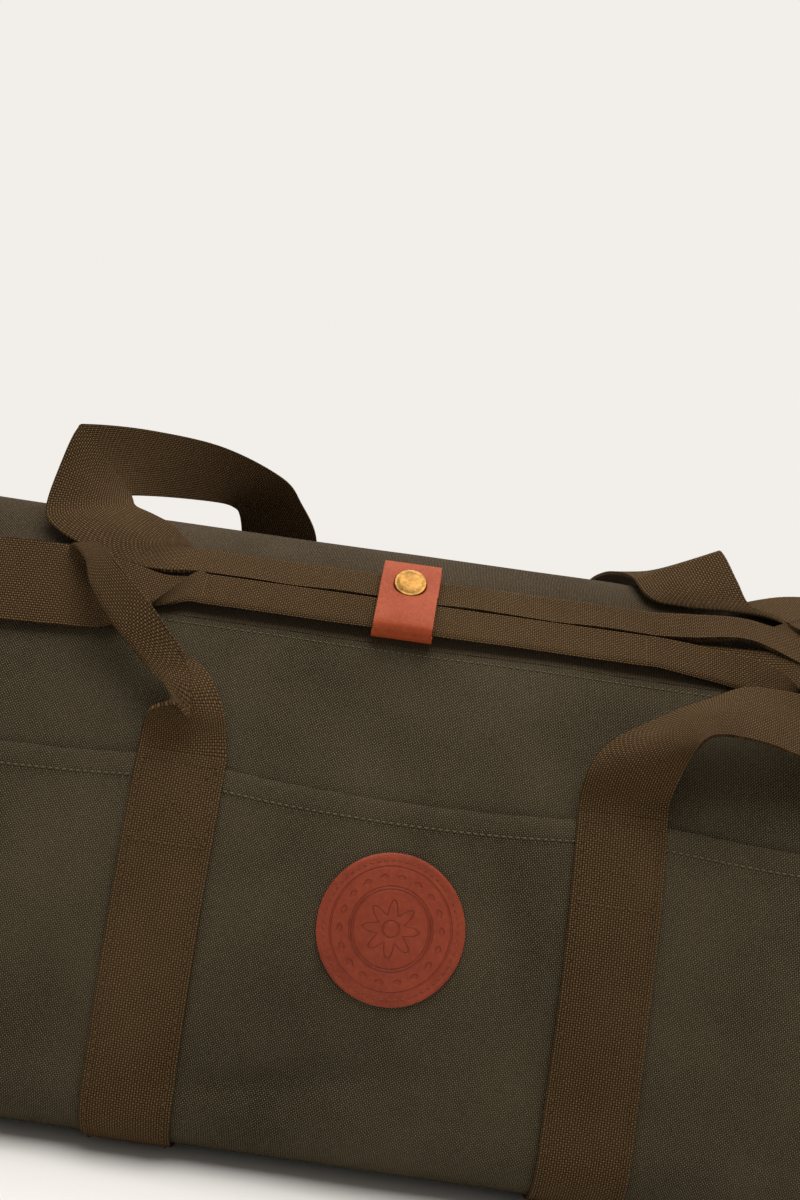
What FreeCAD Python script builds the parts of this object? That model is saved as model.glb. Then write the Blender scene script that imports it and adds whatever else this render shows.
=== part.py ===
import FreeCAD, Part
import math
import os
import Sketcher
from FreeCAD import Placement, Rotation, Vector

# Duffel bag of waxed canvas. Millimetres. X runs along the bag, -Y is the front with the
# slip pocket, Z is up. The origin lies in the middle of the base, on the floor.

SIZES = [
    ("tube_length", 530),        # canvas tube, between the two piped rims
    ("base_half", 105),          # flat base, from the middle line to the start of the corner
    ("corner_radius", 30),       # round corner between base and wall
    ("seam_half", 74),           # seam between wall and top panel, from the middle line
    ("seam_height", 226),
    ("shoulder_slope", 41),      # degrees; the flat stretch that the carry grips lie on
    ("shoulder_length", 44),
    ("slot_half", 8),            # half of the slot in which the zip lies
    ("cloth", 2),                # canvas with its lining
    ("pocket_cloth", 1.5),
    ("webbing", 1.8),
    ("webbing_width", 38),
    ("band_spacing", 95),        # middle of the bag to the middle of a band
    ("band_top", 168),           # height at which a band leaves the wall as a strap
    ("pocket_top", 166),
    ("piping_depth", 5),
    ("piping_length", 5),
    ("end_cloth", 2.5),
    ("seam_gap", 1),             # open wedge in the seam that lets the top panel fold
    ("zip_half", 225),           # half of the part of the mouth that opens
    ("panel_gap", 0.5),
    ("notch_length", 26),        # fixed zone at each zip end where the slider parks
    ("coil_radius", 1.2),
    ("coil_half", 2),            # middle line to the centre of a coil
    ("tape_width", 9),
    ("tape_cloth", 1),
    ("tape_drop", 0.2),
    ("slider_length", 16),
    ("slider_half", 5),
    ("slider_plate", 1.5),
    ("slider_web", 0.9),
    ("slider_gap", 0.4),
    ("slider_park", 235),        # slider's place along the zip at rest
    ("bail_half", 1.5),
    ("bail_size", 5.2),
    ("bail_hole", 1.5),
    ("pull_width", 7),
    ("pull_plate", 1.3),
    ("pull_metal", 8),
    ("pull_length", 30),
    ("tab_width", 9),
    ("tab_leather", 3.2),
    ("patch_radius", 31),
    ("patch_leather", 2.2),
    ("patch_groove", 0.5),
    ("patch_ring", 20.5),
    ("patch_height", 112),
    ("patch_place", 3.5),        # middle line of the bag to the middle of the patch
    ("grip_length", 204),
    ("grip_width", 19),
    ("grip_slit", 0.6),
    ("grip_gap", 0.6),           # between the two grips, and between wrap and canvas
    ("wrap_width", 27),
    ("wrap_place", -9),          # the wrap's middle, along the grips from the bag's middle
    ("wrap_leather", 1.8),
    ("wrap_turn", 12),           # how far the wrap's inner end comes back over the upper grip
    ("flap_gap", 0.4),
    ("snap_place", 6),           # snap above the middle of the wrap
    ("cap_radius", 7.5),
    ("cap_thick", 1.6),
    ("stud_radius", 2.2),
    ("stud_reach", 1.4),
    ("socket_radius", 4.6),
    ("socket_bore", 2.7),
    ("leg_width", 19),
    ("leg_thick", 4.2),
    ("leg_gap", 0.6),
    ("handle_drop", 78),         # end handle: from its hinge down to the middle of its grip
    ("handle_half", 48),
    ("handle_webbing", 25),
    ("handle_thick", 4),
    ("handle_height", 170),
    ("handle_gap", 1),
]

document = FreeCAD.newDocument("duffel_bag")
sheet = document.addObject("Spreadsheet::Sheet", "Dims")
for row, (alias, number) in enumerate(SIZES, start=1):
    sheet.set(f"A{row}", alias)
    sheet.set(f"B{row}", str(number))
    sheet.setAlias(f"B{row}", alias)
document.recompute()

parts = []


def size(text):
    """A sheet expression: every word that is an alias is read from the sheet."""
    for alias, _ in SIZES:
        text = text.replace(f"<{alias}>", f"Dims.{alias}")
    return text


def value(text):
    return float(FreeCAD.Units.Quantity(sheet.evalExpression(size(text))).Value)


def put(thing, label, x=0.0, y=0.0, z=0.0, turn=None):
    """Name a sub-part and place it."""
    thing.Label = label
    thing.Placement = Placement(Vector(x, y, z), turn or Rotation())
    parts.append(thing)
    return thing


def new_body(name):
    return document.addObject("PartDesign::Body", f"body_{name}")


def sketch_on(body, name, role):
    sketch = body.newObject("Sketcher::SketchObject", name)
    plane = [p for p in body.Origin.OriginFeatures if p.Role == role][0]
    sketch.AttachmentSupport = (plane, "")
    sketch.MapMode = "FlatFace"
    return sketch


def bind(sketch, kind, geometry, position, text):
    """Add one size constraint and bind it to its expression."""
    if position is None:
        made = Sketcher.Constraint(kind, geometry, value(text))
    else:
        made = Sketcher.Constraint(kind, geometry, position, value(text))
    index = sketch.addConstraint(made)
    sketch.setExpression(f"Constraints[{index}]", size(text))


def arc_between(start, end, radius, clockwise):
    """The short arc from start to end, with the end numbers that travel along it has."""
    chord = end - start
    side = Vector(chord.y, -chord.x, 0) * (1 / chord.Length)
    if not clockwise:
        side = -side
    centre = (start + end) * 0.5 + side * math.sqrt(radius**2 - chord.Length**2 / 4)
    first = math.atan2(start.y - centre.y, start.x - centre.x)
    last = math.atan2(end.y - centre.y, end.x - centre.x)
    circle = Part.Circle(centre, Vector(0, 0, 1), radius)
    if clockwise:
        return Part.ArcOfCircle(circle, last, first), 2, 1
    return Part.ArcOfCircle(circle, first, last), 1, 2


def draw_loop(sketch, corners):
    """Close a loop through corners (across, up, bend). A bend is None for a straight side,
    or ("right" | "left", radius) for an arc that turns that way."""
    points = [Vector(value(across), value(up), 0) for across, up, _ in corners]
    sides = []
    for number, (_, _, bend) in enumerate(corners):
        start = points[number]
        end = points[(number + 1) % len(points)]
        if bend is None:
            sides.append((sketch.addGeometry(Part.LineSegment(start, end), False), 1, 2))
            continue
        turn, radius = bend
        arc, first, last = arc_between(start, end, value(radius), turn == "right")
        sides.append((sketch.addGeometry(arc, False), first, last))
    for number, (geometry, first, last) in enumerate(sides):
        following = sides[(number + 1) % len(sides)]
        sketch.addConstraint(Sketcher.Constraint("Coincident", geometry, last, following[0], following[1]))
    for (geometry, first, _), (across, up, bend) in zip(sides, corners):
        bind(sketch, "DistanceX", geometry, first, across)
        bind(sketch, "DistanceY", geometry, first, up)
        if bend is not None:
            bind(sketch, "Radius", geometry, None, bend[1])


def box_loop(left, low, right, high):
    return [(left, low, None), (right, low, None), (right, high, None), (left, high, None)]


def circle_on(sketch, across, up, radius):
    centre = Vector(value(across), value(up), 0)
    round_edge = sketch.addGeometry(Part.Circle(centre, Vector(0, 0, 1), value(radius)), False)
    bind(sketch, "DistanceX", round_edge, 3, across)
    bind(sketch, "DistanceY", round_edge, 3, up)
    bind(sketch, "Radius", round_edge, None, radius)


def pad(body, name, sketch, length, middle=True):
    feature = body.newObject("PartDesign::Pad", name)
    feature.Profile = sketch
    feature.Midplane = middle
    feature.setExpression("Length", size(length))
    sketch.Visibility = False
    body.Tip = feature
    return feature


def extruded(label, role, loops, length, x=0.0, y=0.0, z=0.0, turn=None):
    """A body whose one sketch of closed loops is padded evenly to both sides."""
    body = new_body(label)
    sketch = sketch_on(body, f"profile_{label}", role)
    for loop in loops:
        draw_loop(sketch, loop)
    pad(body, f"pad_{label}", sketch, length)
    return put(body, label, x, y, z, turn)


# The cross-section. Each station is a point of the canvas's outer face with the direction
# of its inward normal; an offset chain runs beside it at a given depth.

LIFT = {-1: "(<pocket_cloth> + <webbing>)", 1: "<webbing>"}
LEAN = "(<base_half> + <corner_radius> - <seam_half>)"
SLOPE = "(<shoulder_slope> * 1 deg)"


def wall_rise(side):
    return f"(<seam_height> - <corner_radius> - {LIFT[side]})"


def wall_radius(side):
    return f"(({LEAN} ^ 2 + {wall_rise(side)} ^ 2) / (2 * {LEAN}))"


def wall_turn(side, height="<seam_height>"):
    return f"asin(({height} - <corner_radius> - {LIFT[side]}) / {wall_radius(side)})"


CROWN_RADIUS = f"((<seam_half> - <shoulder_length> * cos({SLOPE}) - <slot_half>) / sin({SLOPE}))"
TOP = (
    f"(<seam_height> + <shoulder_length> * sin({SLOPE})"
    f" + {CROWN_RADIUS} * (1 - cos({SLOPE})))"
)


def station(side, half, height, angle):
    """Side -1 is the front, 1 the back; the angle is that of the front's normal."""
    return side, half, height, angle


def offset(place, depth):
    side, half, height, angle = place
    across = f"{side} * ({half} - ({depth}) * cos({angle}))"
    up = f"{height} + ({depth}) * sin({angle})"
    return across, up


def base_edge(side):
    return station(side, "<base_half>", LIFT[side], "(90 deg)")


def belly(side):
    return station(side, "(<base_half> + <corner_radius>)", f"({LIFT[side]} + <corner_radius>)", "(0 deg)")


def on_wall(side, height):
    turn = wall_turn(side, height)
    half = f"(<base_half> + <corner_radius> - {wall_radius(side)} * (1 - cos({turn})))"
    return station(side, half, height, f"(0 deg - {turn})")


def wall_top(side):
    return station(side, "<seam_half>", "<seam_height>", f"(0 deg - {wall_turn(side)})")


def seam(side):
    angle = f"(({SLOPE} - 90 deg - {wall_turn(side)}) / 2)"
    return station(side, "<seam_half>", "<seam_height>", angle)


def shoulder(side, along):
    half = f"(<seam_half> - ({along}) * cos({SLOPE}))"
    height = f"(<seam_height> + ({along}) * sin({SLOPE}))"
    return station(side, half, height, f"({SLOPE} - 90 deg)")


def slot_edge(side):
    return station(side, "<slot_half>", TOP, "(0 deg - 90 deg)")


def bend(place_side, radius, depth, outward):
    """An arc of an offset chain; travel up the front or down the back turns right."""
    turn = "right" if (place_side == -1) == outward else "left"
    return turn, f"({radius} - ({depth}))"


def wall_chain(side, end, depth, upward):
    """The chain from the base edge to a place on the wall, or back down."""
    corner = bend(side, "<corner_radius>", depth, upward)
    wall = bend(side, wall_radius(side), depth, upward)
    places = [offset(base_edge(side), depth), offset(belly(side), depth), offset(end, depth)]
    if upward:
        return [(*places[0], corner), (*places[1], wall), (*places[2], None)]
    return [(*places[2], wall), (*places[1], corner), (*places[0], None)]


def wall_ribbon(side, end, outer, inner):
    return wall_chain(side, end, outer, True) + wall_chain(side, end, inner, False)


def crown_chain(side, start, depth, upward):
    """The chain over the top from the seam to the slot edge, or back."""
    crown = bend(side, CROWN_RADIUS, depth, upward)
    places = [offset(p, depth) for p in (start, shoulder(side, "<shoulder_length>"), slot_edge(side))]
    if upward:
        return [(*places[0], None), (*places[1], crown), (*places[2], None)]
    return [(*places[2], crown), (*places[1], None), (*places[0], None)]


def apart(corner, other):
    """Whether two corners of a loop are at different places."""
    return any(abs(value(corner[axis]) - value(other[axis])) > 1e-6 for axis in (0, 1))


def outline(depth, floor):
    """The whole closed cross-section at one depth, with a straight line at floor height."""
    loop = [("-1 * (<base_half>)", floor, None)]
    for side, upward in ((-1, True), (1, False)):
        wall = bend(side, wall_radius(side), depth, upward)
        corner = bend(side, "<corner_radius>", depth, upward)
        crown = bend(side, CROWN_RADIUS, depth, upward)
        base, hip = offset(base_edge(side), depth), offset(belly(side), depth)
        edge, ridge = offset(seam(side), depth), offset(shoulder(side, "<shoulder_length>"), depth)
        slot = offset(slot_edge(side), depth)
        if upward:
            loop += [(*base, corner), (*hip, wall), (*edge, None), (*ridge, crown), (*slot, None)]
        else:
            loop += [(*slot, crown), (*ridge, None), (*edge, wall), (*hip, corner), (*base, None)]
    loop.append(("<base_half>", floor, None))
    return [corner for corner, last in zip(loop, loop[-1:] + loop[:-1]) if apart(corner, last)]


SIDES = (("front", -1), ("back", 1))
ENDS = (("left", -1), ("right", 1))
FLOOR_TOP = "(<pocket_cloth> + <webbing> + <cloth>)"

# Canvas tube.

for word, side in SIDES:
    extruded(f"{word}_panel", "YZ_Plane", [wall_ribbon(side, wall_top(side), "0", "<cloth>")], "<tube_length>")

extruded(
    "front_pocket",
    "YZ_Plane",
    [wall_ribbon(-1, on_wall(-1, "<pocket_top>"), "0 - <pocket_cloth>", "0")],
    "<tube_length>",
)


def base_panel():
    """The base, with a shallow groove for each band so that everything stands level."""
    loop = [("-1 * <tube_length> / 2", "0", None)]
    for _, end in ENDS:
        for edge in (-1, 1):
            place = f"{end} * <band_spacing> + {edge} * <webbing_width> / 2"
            low, high = (place, "0", None), (place, "<webbing>", None)
            loop += [low, high] if edge < 0 else [high, low]
    loop += [
        ("<tube_length> / 2", "0", None),
        ("<tube_length> / 2", FLOOR_TOP, None),
        ("-1 * <tube_length> / 2", FLOOR_TOP, None),
    ]
    extruded("base_panel", "XZ_Plane", [loop], "2 * <base_half>")


base_panel()

# Bands of webbing, sewn over the pocket in front, under the base and up the back.


def band_loop():
    front, back = on_wall(-1, "<band_top>"), on_wall(1, "<band_top>")
    outer_front = wall_chain(-1, front, "0 - <pocket_cloth> - <webbing>", False)
    inner_front = wall_chain(-1, front, "0 - <pocket_cloth>", True)
    outer_back = wall_chain(1, back, "0 - <webbing>", True)
    inner_back = wall_chain(1, back, "0", False)
    return outer_front + outer_back + inner_back + inner_front


for word, end in ENDS:
    extruded(
        f"band_{word}",
        "YZ_Plane",
        [band_loop()],
        "<webbing_width>",
        x=end * value("<band_spacing>"),
    )

# End panels and the piped rims round them.

for word, end in ENDS:
    extruded(
        f"end_panel_{word}",
        "YZ_Plane",
        [outline("<cloth>", FLOOR_TOP)],
        "<end_cloth>",
        x=end * value("(<tube_length> - <end_cloth>) / 2"),
    )
    extruded(
        f"piping_{word}",
        "YZ_Plane",
        [outline("0", "0"), outline("<piping_depth>", "<piping_depth>")],
        "<piping_length>",
        x=end * value("(<tube_length> + <piping_length>) / 2"),
    )

# Top: two fixed ends, and two panels that fold into the bag once the zip is open.

END_ZONE = "(<tube_length> / 2 - <zip_half> - <panel_gap>)"


def top_end(word, end):
    label = f"top_end_{word}"
    body = new_body(label)
    sketch = sketch_on(body, f"profile_{label}", "YZ_Plane")
    start = {side: shoulder(side, "<seam_gap>") for side in (-1, 1)}
    outer = crown_chain(-1, start[-1], "0", True) + crown_chain(1, start[1], "0", False)
    inner = crown_chain(1, start[1], "<cloth>", True) + crown_chain(-1, start[-1], "<cloth>", False)
    draw_loop(sketch, outer + inner)
    pad(body, f"pad_{label}", sketch, END_ZONE)
    window = sketch_on(body, f"notch_{label}", "XY_Plane")
    inner_edge = f"{-end} * {END_ZONE} / 2"
    outer_edge = f"{-end} * ({END_ZONE} / 2 - <notch_length>)"
    near, far = (inner_edge, outer_edge) if end > 0 else (outer_edge, inner_edge)
    draw_loop(window, box_loop(near, "-1 * <slot_half>", far, "<slot_half>"))
    document.recompute()
    cut = body.newObject("PartDesign::Pocket", f"slot_{label}")
    cut.Profile = window
    cut.Type = "ThroughAll"
    cut.Midplane = True
    body.Tip = cut
    put(body, label, x=end * value(f"<zip_half> + <panel_gap> + {END_ZONE} / 2"))


for word, end in ENDS:
    top_end(word, end)

for word, side in SIDES:
    start = shoulder(side, "<seam_gap>")
    loop = crown_chain(side, start, "0", True) + crown_chain(side, start, "<cloth>", False)
    extruded(f"top_panel_{word}", "YZ_Plane", [loop], "2 * <zip_half>")

# Zip: tape and coil on each side, fixed stubs at both ends, and the slider with its pull.

TAPE_TOP = f"({TOP} - <cloth> - <tape_drop>)"
COIL_HEIGHT = f"({TAPE_TOP} - <tape_cloth> / 2)"


def tape_loop(side):
    inner = f"{side} * (<coil_half> + <coil_radius>)"
    outer = f"{side} * (<coil_half> + <coil_radius> + <tape_width>)"
    left, right = (outer, inner) if side < 0 else (inner, outer)
    return box_loop(left, f"{TAPE_TOP} - <tape_cloth>", right, TAPE_TOP)


def coil(label, side, length, x=0.0):
    body = new_body(label)
    sketch = sketch_on(body, f"profile_{label}", "YZ_Plane")
    circle_on(sketch, f"{side} * <coil_half>", COIL_HEIGHT, "<coil_radius>")
    pad(body, f"pad_{label}", sketch, length)
    return put(body, label, x)


for word, side in SIDES:
    extruded(f"zip_tape_{word}", "YZ_Plane", [tape_loop(side)], "2 * <zip_half>")
    coil(f"zip_coil_{word}", side, "2 * <zip_half>")

STUB = "(<notch_length> - <panel_gap>)"
for word, end in ENDS:
    middle = end * value(f"<zip_half> + <panel_gap> + {STUB} / 2")
    extruded(f"zip_end_tape_{word}", "YZ_Plane", [tape_loop(-1), tape_loop(1)], STUB, x=middle)
    body = new_body(f"zip_end_coil_{word}")
    sketch = sketch_on(body, f"profile_zip_end_coil_{word}", "YZ_Plane")
    for _, side in SIDES:
        circle_on(sketch, f"{side} * <coil_half>", COIL_HEIGHT, "<coil_radius>")
    pad(body, f"pad_zip_end_coil_{word}", sketch, STUB)
    put(body, f"zip_end_coil_{word}", middle)

PLATE_LOW = f"({COIL_HEIGHT} + <coil_radius> + <slider_gap>)"
PLATE_TOP = f"({PLATE_LOW} + <slider_plate>)"
UNDER_TOP = f"({COIL_HEIGHT} - <coil_radius> - <slider_gap>)"
UNDER_LOW = f"({UNDER_TOP} - <slider_plate>)"
BAIL_CENTRE = f"({PLATE_TOP} + <bail_size> / 2)"


def zip_slider():
    """Two plates joined by a web that runs between the coils, and a bail for the pull."""
    label = "zip_slider"
    body = new_body(label)
    sketch = sketch_on(body, "profile_slider", "YZ_Plane")
    half, web = "<slider_half>", "<slider_web> / 2"
    draw_loop(
        sketch,
        [
            (f"-1 * {half}", UNDER_LOW, None),
            (half, UNDER_LOW, None),
            (half, UNDER_TOP, None),
            (web, UNDER_TOP, None),
            (web, PLATE_LOW, None),
            (half, PLATE_LOW, None),
            (half, PLATE_TOP, None),
            (f"-1 * {half}", PLATE_TOP, None),
            (f"-1 * {half}", PLATE_LOW, None),
            (f"-1 * {web}", PLATE_LOW, None),
            (f"-1 * {web}", UNDER_TOP, None),
            (f"-1 * {half}", UNDER_TOP, None),
        ],
    )
    pad(body, "pad_slider", sketch, "<slider_length>")
    cheek = sketch_on(body, "profile_bail", "XZ_Plane")
    bail = "<bail_size> / 2"
    draw_loop(cheek, box_loop(f"-1 * {bail}", PLATE_TOP, bail, f"{PLATE_TOP} + <bail_size>"))
    circle_on(cheek, "0", BAIL_CENTRE, "<bail_hole>")
    pad(body, "pad_bail", cheek, "2 * <bail_half>")
    put(body, label, x=value("<slider_park>"))


zip_slider()


def zip_pull():
    """A flat metal frame whose crossbar runs through the slider's bail."""
    bar, arm = "<pull_plate> / 2", "(<pull_width> / 2)"
    outer = box_loop(f"-1 * {bar}", f"-1 * {arm}", "<pull_metal>", arm)
    window_half = "(<bail_half> + <slider_gap>)"
    window = box_loop(bar, f"-1 * {window_half}", "<bail_size>", window_half)
    park, height = value("<slider_park>"), value(BAIL_CENTRE)
    extruded("zip_pull", "XY_Plane", [outer, window], "<pull_plate>", x=park, z=height)
    tab = box_loop("<pull_metal>", "-1 * <tab_width> / 2", "<pull_length>", "<tab_width> / 2")
    extruded("pull_tab", "XY_Plane", [tab], "<tab_leather>", x=park, z=height)


zip_pull()

# Round leather patch on the pocket.


def leather_patch():
    body = new_body("leather_patch")
    sketch = sketch_on(body, "profile_patch", "XY_Plane")
    circle_on(sketch, "0", "0", "<patch_radius>")
    pad(body, "pad_patch", sketch, "<patch_leather>", middle=False)
    ring = sketch_on(body, "profile_ring", "XY_Plane")
    circle_on(ring, "0", "0", "<patch_ring>")
    circle_on(ring, "0", "0", "<patch_ring> - 2 * <patch_groove>")
    ring.setExpression("AttachmentOffset.Base.z", size("<patch_leather>"))
    document.recompute()
    groove = body.newObject("PartDesign::Pocket", "groove_patch")
    groove.Profile = ring
    groove.setExpression("Length", size("<patch_groove>"))
    body.Tip = groove
    across, up = offset(on_wall(-1, "<patch_height>"), "0 - <pocket_cloth> - <leg_gap>")
    lean = value(wall_turn(-1, "<patch_height>"))
    put(body, "leather_patch", value("<patch_place>"), value(across), value(up), Rotation(Vector(1, 0, 0), 90 - lean))


leather_patch()

# Carry grips on the front shoulder. In their own frame X runs along the bag, Y up the
# slope and Z out of the canvas.

SLOPE_TURN = Rotation(Vector(1, 0, 0), value("<shoulder_slope>"))
MIDDLE = "(<shoulder_length> / 2)"
GRIP_THICK = "(2 * <webbing> + <grip_slit>)"
WRAP_LOW = "<grip_gap>"
GRIP_LOW = f"({WRAP_LOW} + <wrap_leather>)"
GRIP_HIGH = f"({GRIP_LOW} + {GRIP_THICK})"
WRAP_HIGH = f"({GRIP_HIGH} + <wrap_leather>)"
FLAP_LOW = f"({WRAP_HIGH} + <flap_gap>)"
FLAP_HIGH = f"({FLAP_LOW} + <wrap_leather>)"
PAIR_HALF = "(<grip_width> + <grip_gap> / 2)"
WRAP_HALF = f"({PAIR_HALF} + <wrap_leather>)"
SLOPE_PLACE = [value(text) for text in offset(shoulder(-1, MIDDLE), "0")]


def on_slope(label, loops, length, along="0"):
    return extruded(label, "YZ_Plane", loops, length, value(along), *SLOPE_PLACE, SLOPE_TURN)


def grip_loop(low, high, fold_side):
    """Webbing folded in half lengthwise: a long U with its slit open on one side."""
    near, far = (low, high) if fold_side < 0 else (high, low)
    slit_low = f"({GRIP_LOW} + <webbing>)"
    slit_high = f"({GRIP_HIGH} - <webbing>)"
    inner = f"({near} - {fold_side} * <webbing>)"
    return [
        (near, GRIP_LOW, None),
        (far, GRIP_LOW, None),
        (far, slit_low, None),
        (inner, slit_low, None),
        (inner, slit_high, None),
        (far, slit_high, None),
        (far, GRIP_HIGH, None),
        (near, GRIP_HIGH, None),
    ]


on_slope("grip_front", [grip_loop(f"-1 * {PAIR_HALF}", "-1 * <grip_gap> / 2", -1)], "<grip_length>")
on_slope("grip_back", [grip_loop("<grip_gap> / 2", PAIR_HALF, 1)], "<grip_length>")

WRAP_INNER = f"({PAIR_HALF} - <wrap_turn> - <snap_place>)"
WRAP_SIDE = f"({WRAP_HIGH} - <wrap_leather> / 2)"
on_slope(
    "leather_wrap",
    [
        [
            (f"-1 * {WRAP_HALF}", WRAP_LOW, None),
            (WRAP_HALF, WRAP_LOW, None),
            (WRAP_HALF, WRAP_HIGH, None),
            (WRAP_INNER, WRAP_HIGH, None),
            (WRAP_INNER, GRIP_HIGH, None),
            (PAIR_HALF, GRIP_HIGH, None),
            (PAIR_HALF, GRIP_LOW, None),
            (f"-1 * {PAIR_HALF}", GRIP_LOW, None),
            (f"-1 * {PAIR_HALF}", WRAP_SIDE, None),
            (f"-1 * {WRAP_HALF}", WRAP_SIDE, None),
        ]
    ],
    "<wrap_width>",
    "<wrap_place>",
)
on_slope(
    "leather_flap",
    [box_loop(f"-1 * {WRAP_HALF}", FLAP_LOW, WRAP_HALF, FLAP_HIGH)],
    "<wrap_width>",
    "<wrap_place>",
)


def snap_piece(label, rings, start, height):
    """A round snap piece standing out of the slope, with an optional bore."""
    body = new_body(label)
    sketch = sketch_on(body, f"profile_{label}", "XY_Plane")
    for radius in rings:
        circle_on(sketch, "0", "<snap_place>", radius)
    sketch.setExpression("AttachmentOffset.Base.z", size(start))
    pad(body, f"pad_{label}", sketch, height, middle=False)
    put(body, label, value("<wrap_place>"), *SLOPE_PLACE, SLOPE_TURN)


snap_piece("snap_cap", ["<cap_radius>"], FLAP_HIGH, "<cap_thick>")
snap_piece("snap_stud", ["<stud_radius>"], WRAP_HIGH, "<stud_reach>")


def bored_flap():
    """The flap's hole over the stud takes the socket ring; both clear the stud."""
    flap = [piece for piece in parts if piece.Label == "leather_flap"][0]
    hole = sketch_on(flap, "hole_flap", "XY_Plane")
    circle_on(hole, "0", "<snap_place>", "<socket_radius>")
    hole.setExpression("AttachmentOffset.Base.z", size(FLAP_LOW))
    document.recompute()
    cut = flap.newObject("PartDesign::Pocket", "bore_flap")
    cut.Profile = hole
    cut.Reversed = True
    cut.setExpression("Length", size("<wrap_leather>"))
    flap.Tip = cut


bored_flap()
snap_piece("snap_socket", ["<socket_radius>", "<socket_bore>"], FLAP_LOW, "<wrap_leather>")

# Strap legs between the band tops and the ends of the grips: folded webbing in an arc.


def strap_leg(label, start, peak, end):
    """A flat strip swept along the arc through three points, bending over its flat side."""
    arc = Part.Arc(start, peak, end)
    spine = Part.Wire(arc.toShape())
    axis = (peak - start).cross(end - start).normalize()
    heading = Vector(spine.Edges[0].tangentAt(spine.Edges[0].FirstParameter))
    out = heading.cross(axis)
    half_width, half_thick = value("<leg_width>") / 2, value("<leg_thick>") / 2
    corners = [
        start + axis * (a * half_width) + out * (b * half_thick)
        for a, b in ((-1, -1), (1, -1), (1, 1), (-1, 1), (-1, -1))
    ]
    leg = document.addObject("Part::Feature", label)
    leg.Shape = spine.makePipeShell([Part.makePolygon(corners)], True, False)
    put(leg, label)


def strap_legs():
    """The front pair bulges out over the wall, the back pair stands up over the top."""
    reach = value("<leg_width> / 2 + <leg_gap>")
    grip_end = value("<grip_length> / 2 + <leg_width> / 2")
    band = value("<band_spacing>")
    wide = value("<webbing_width>")
    for side_word, side in SIDES:
        depth = "0 - <webbing> - <pocket_cloth> - <leg_width> / 2 - <leg_gap> - <leg_thick>"
        root_y, root_z = [value(t) for t in offset(on_wall(side, "<band_top> + <leg_thick>"), depth)]
        along = f"{MIDDLE} + {side} * {PAIR_HALF} / 2"
        above = f"0 - {GRIP_HIGH} - <leg_width> / 2"
        tip_y, tip_z = [value(t) for t in offset(shoulder(-1, along), above)]
        for word, end in ENDS:
            root = Vector(end * band, root_y, root_z)
            tip = Vector(end * grip_end, tip_y, tip_z)
            bulge = (root + tip) * 0.5 + Vector(end * wide, -reach * 0.5, 0)
            if side > 0:
                bulge = Vector(end * (band + 1.7 * wide), -reach, value(TOP) + 2 * reach)
            strap_leg(f"leg_{side_word}_{word}", root, bulge, tip)


strap_legs()

# Grab handle on each end panel, hanging from its sewn ends.


def end_handle(word, end):
    """A hanging U of folded webbing: two legs and a straight grip."""
    half, wide = "<handle_half>", "<handle_webbing>"
    drop, top = "<handle_drop>", "<handle_height>"
    outer, inner = f"({half} + {wide} / 2)", f"({half} - {wide} / 2)"
    low, shelf = f"({top} - {drop} - {wide} / 2)", f"({top} - {drop} + {wide} / 2)"
    loop = [
        (f"-1 * {outer}", low, None),
        (outer, low, None),
        (outer, top, None),
        (inner, top, None),
        (inner, shelf, None),
        (f"-1 * {inner}", shelf, None),
        (f"-1 * {inner}", top, None),
        (f"-1 * {outer}", top, None),
    ]
    place = end * value("<tube_length> / 2 + <handle_gap> + <handle_thick> / 2")
    extruded(f"end_handle_{word}", "YZ_Plane", [loop], "<handle_thick>", x=place)


for word, end in ENDS:
    end_handle(word, end)

document.recompute()
for thing in document.Objects:
    if "Invalid" in thing.State or "Error" in thing.State:
        raise RuntimeError(f"{thing.Name} did not compute: {thing.State}")
os.makedirs("parts", exist_ok=True)
for part in parts:
    if part.Shape.isNull() or not part.Shape.isValid():
        raise RuntimeError(f"{part.Label} has no sound shape")
    part.Shape.exportStep(f"parts/{part.Label}.step")
    print(part.Label, round(part.Shape.Volume))
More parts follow.
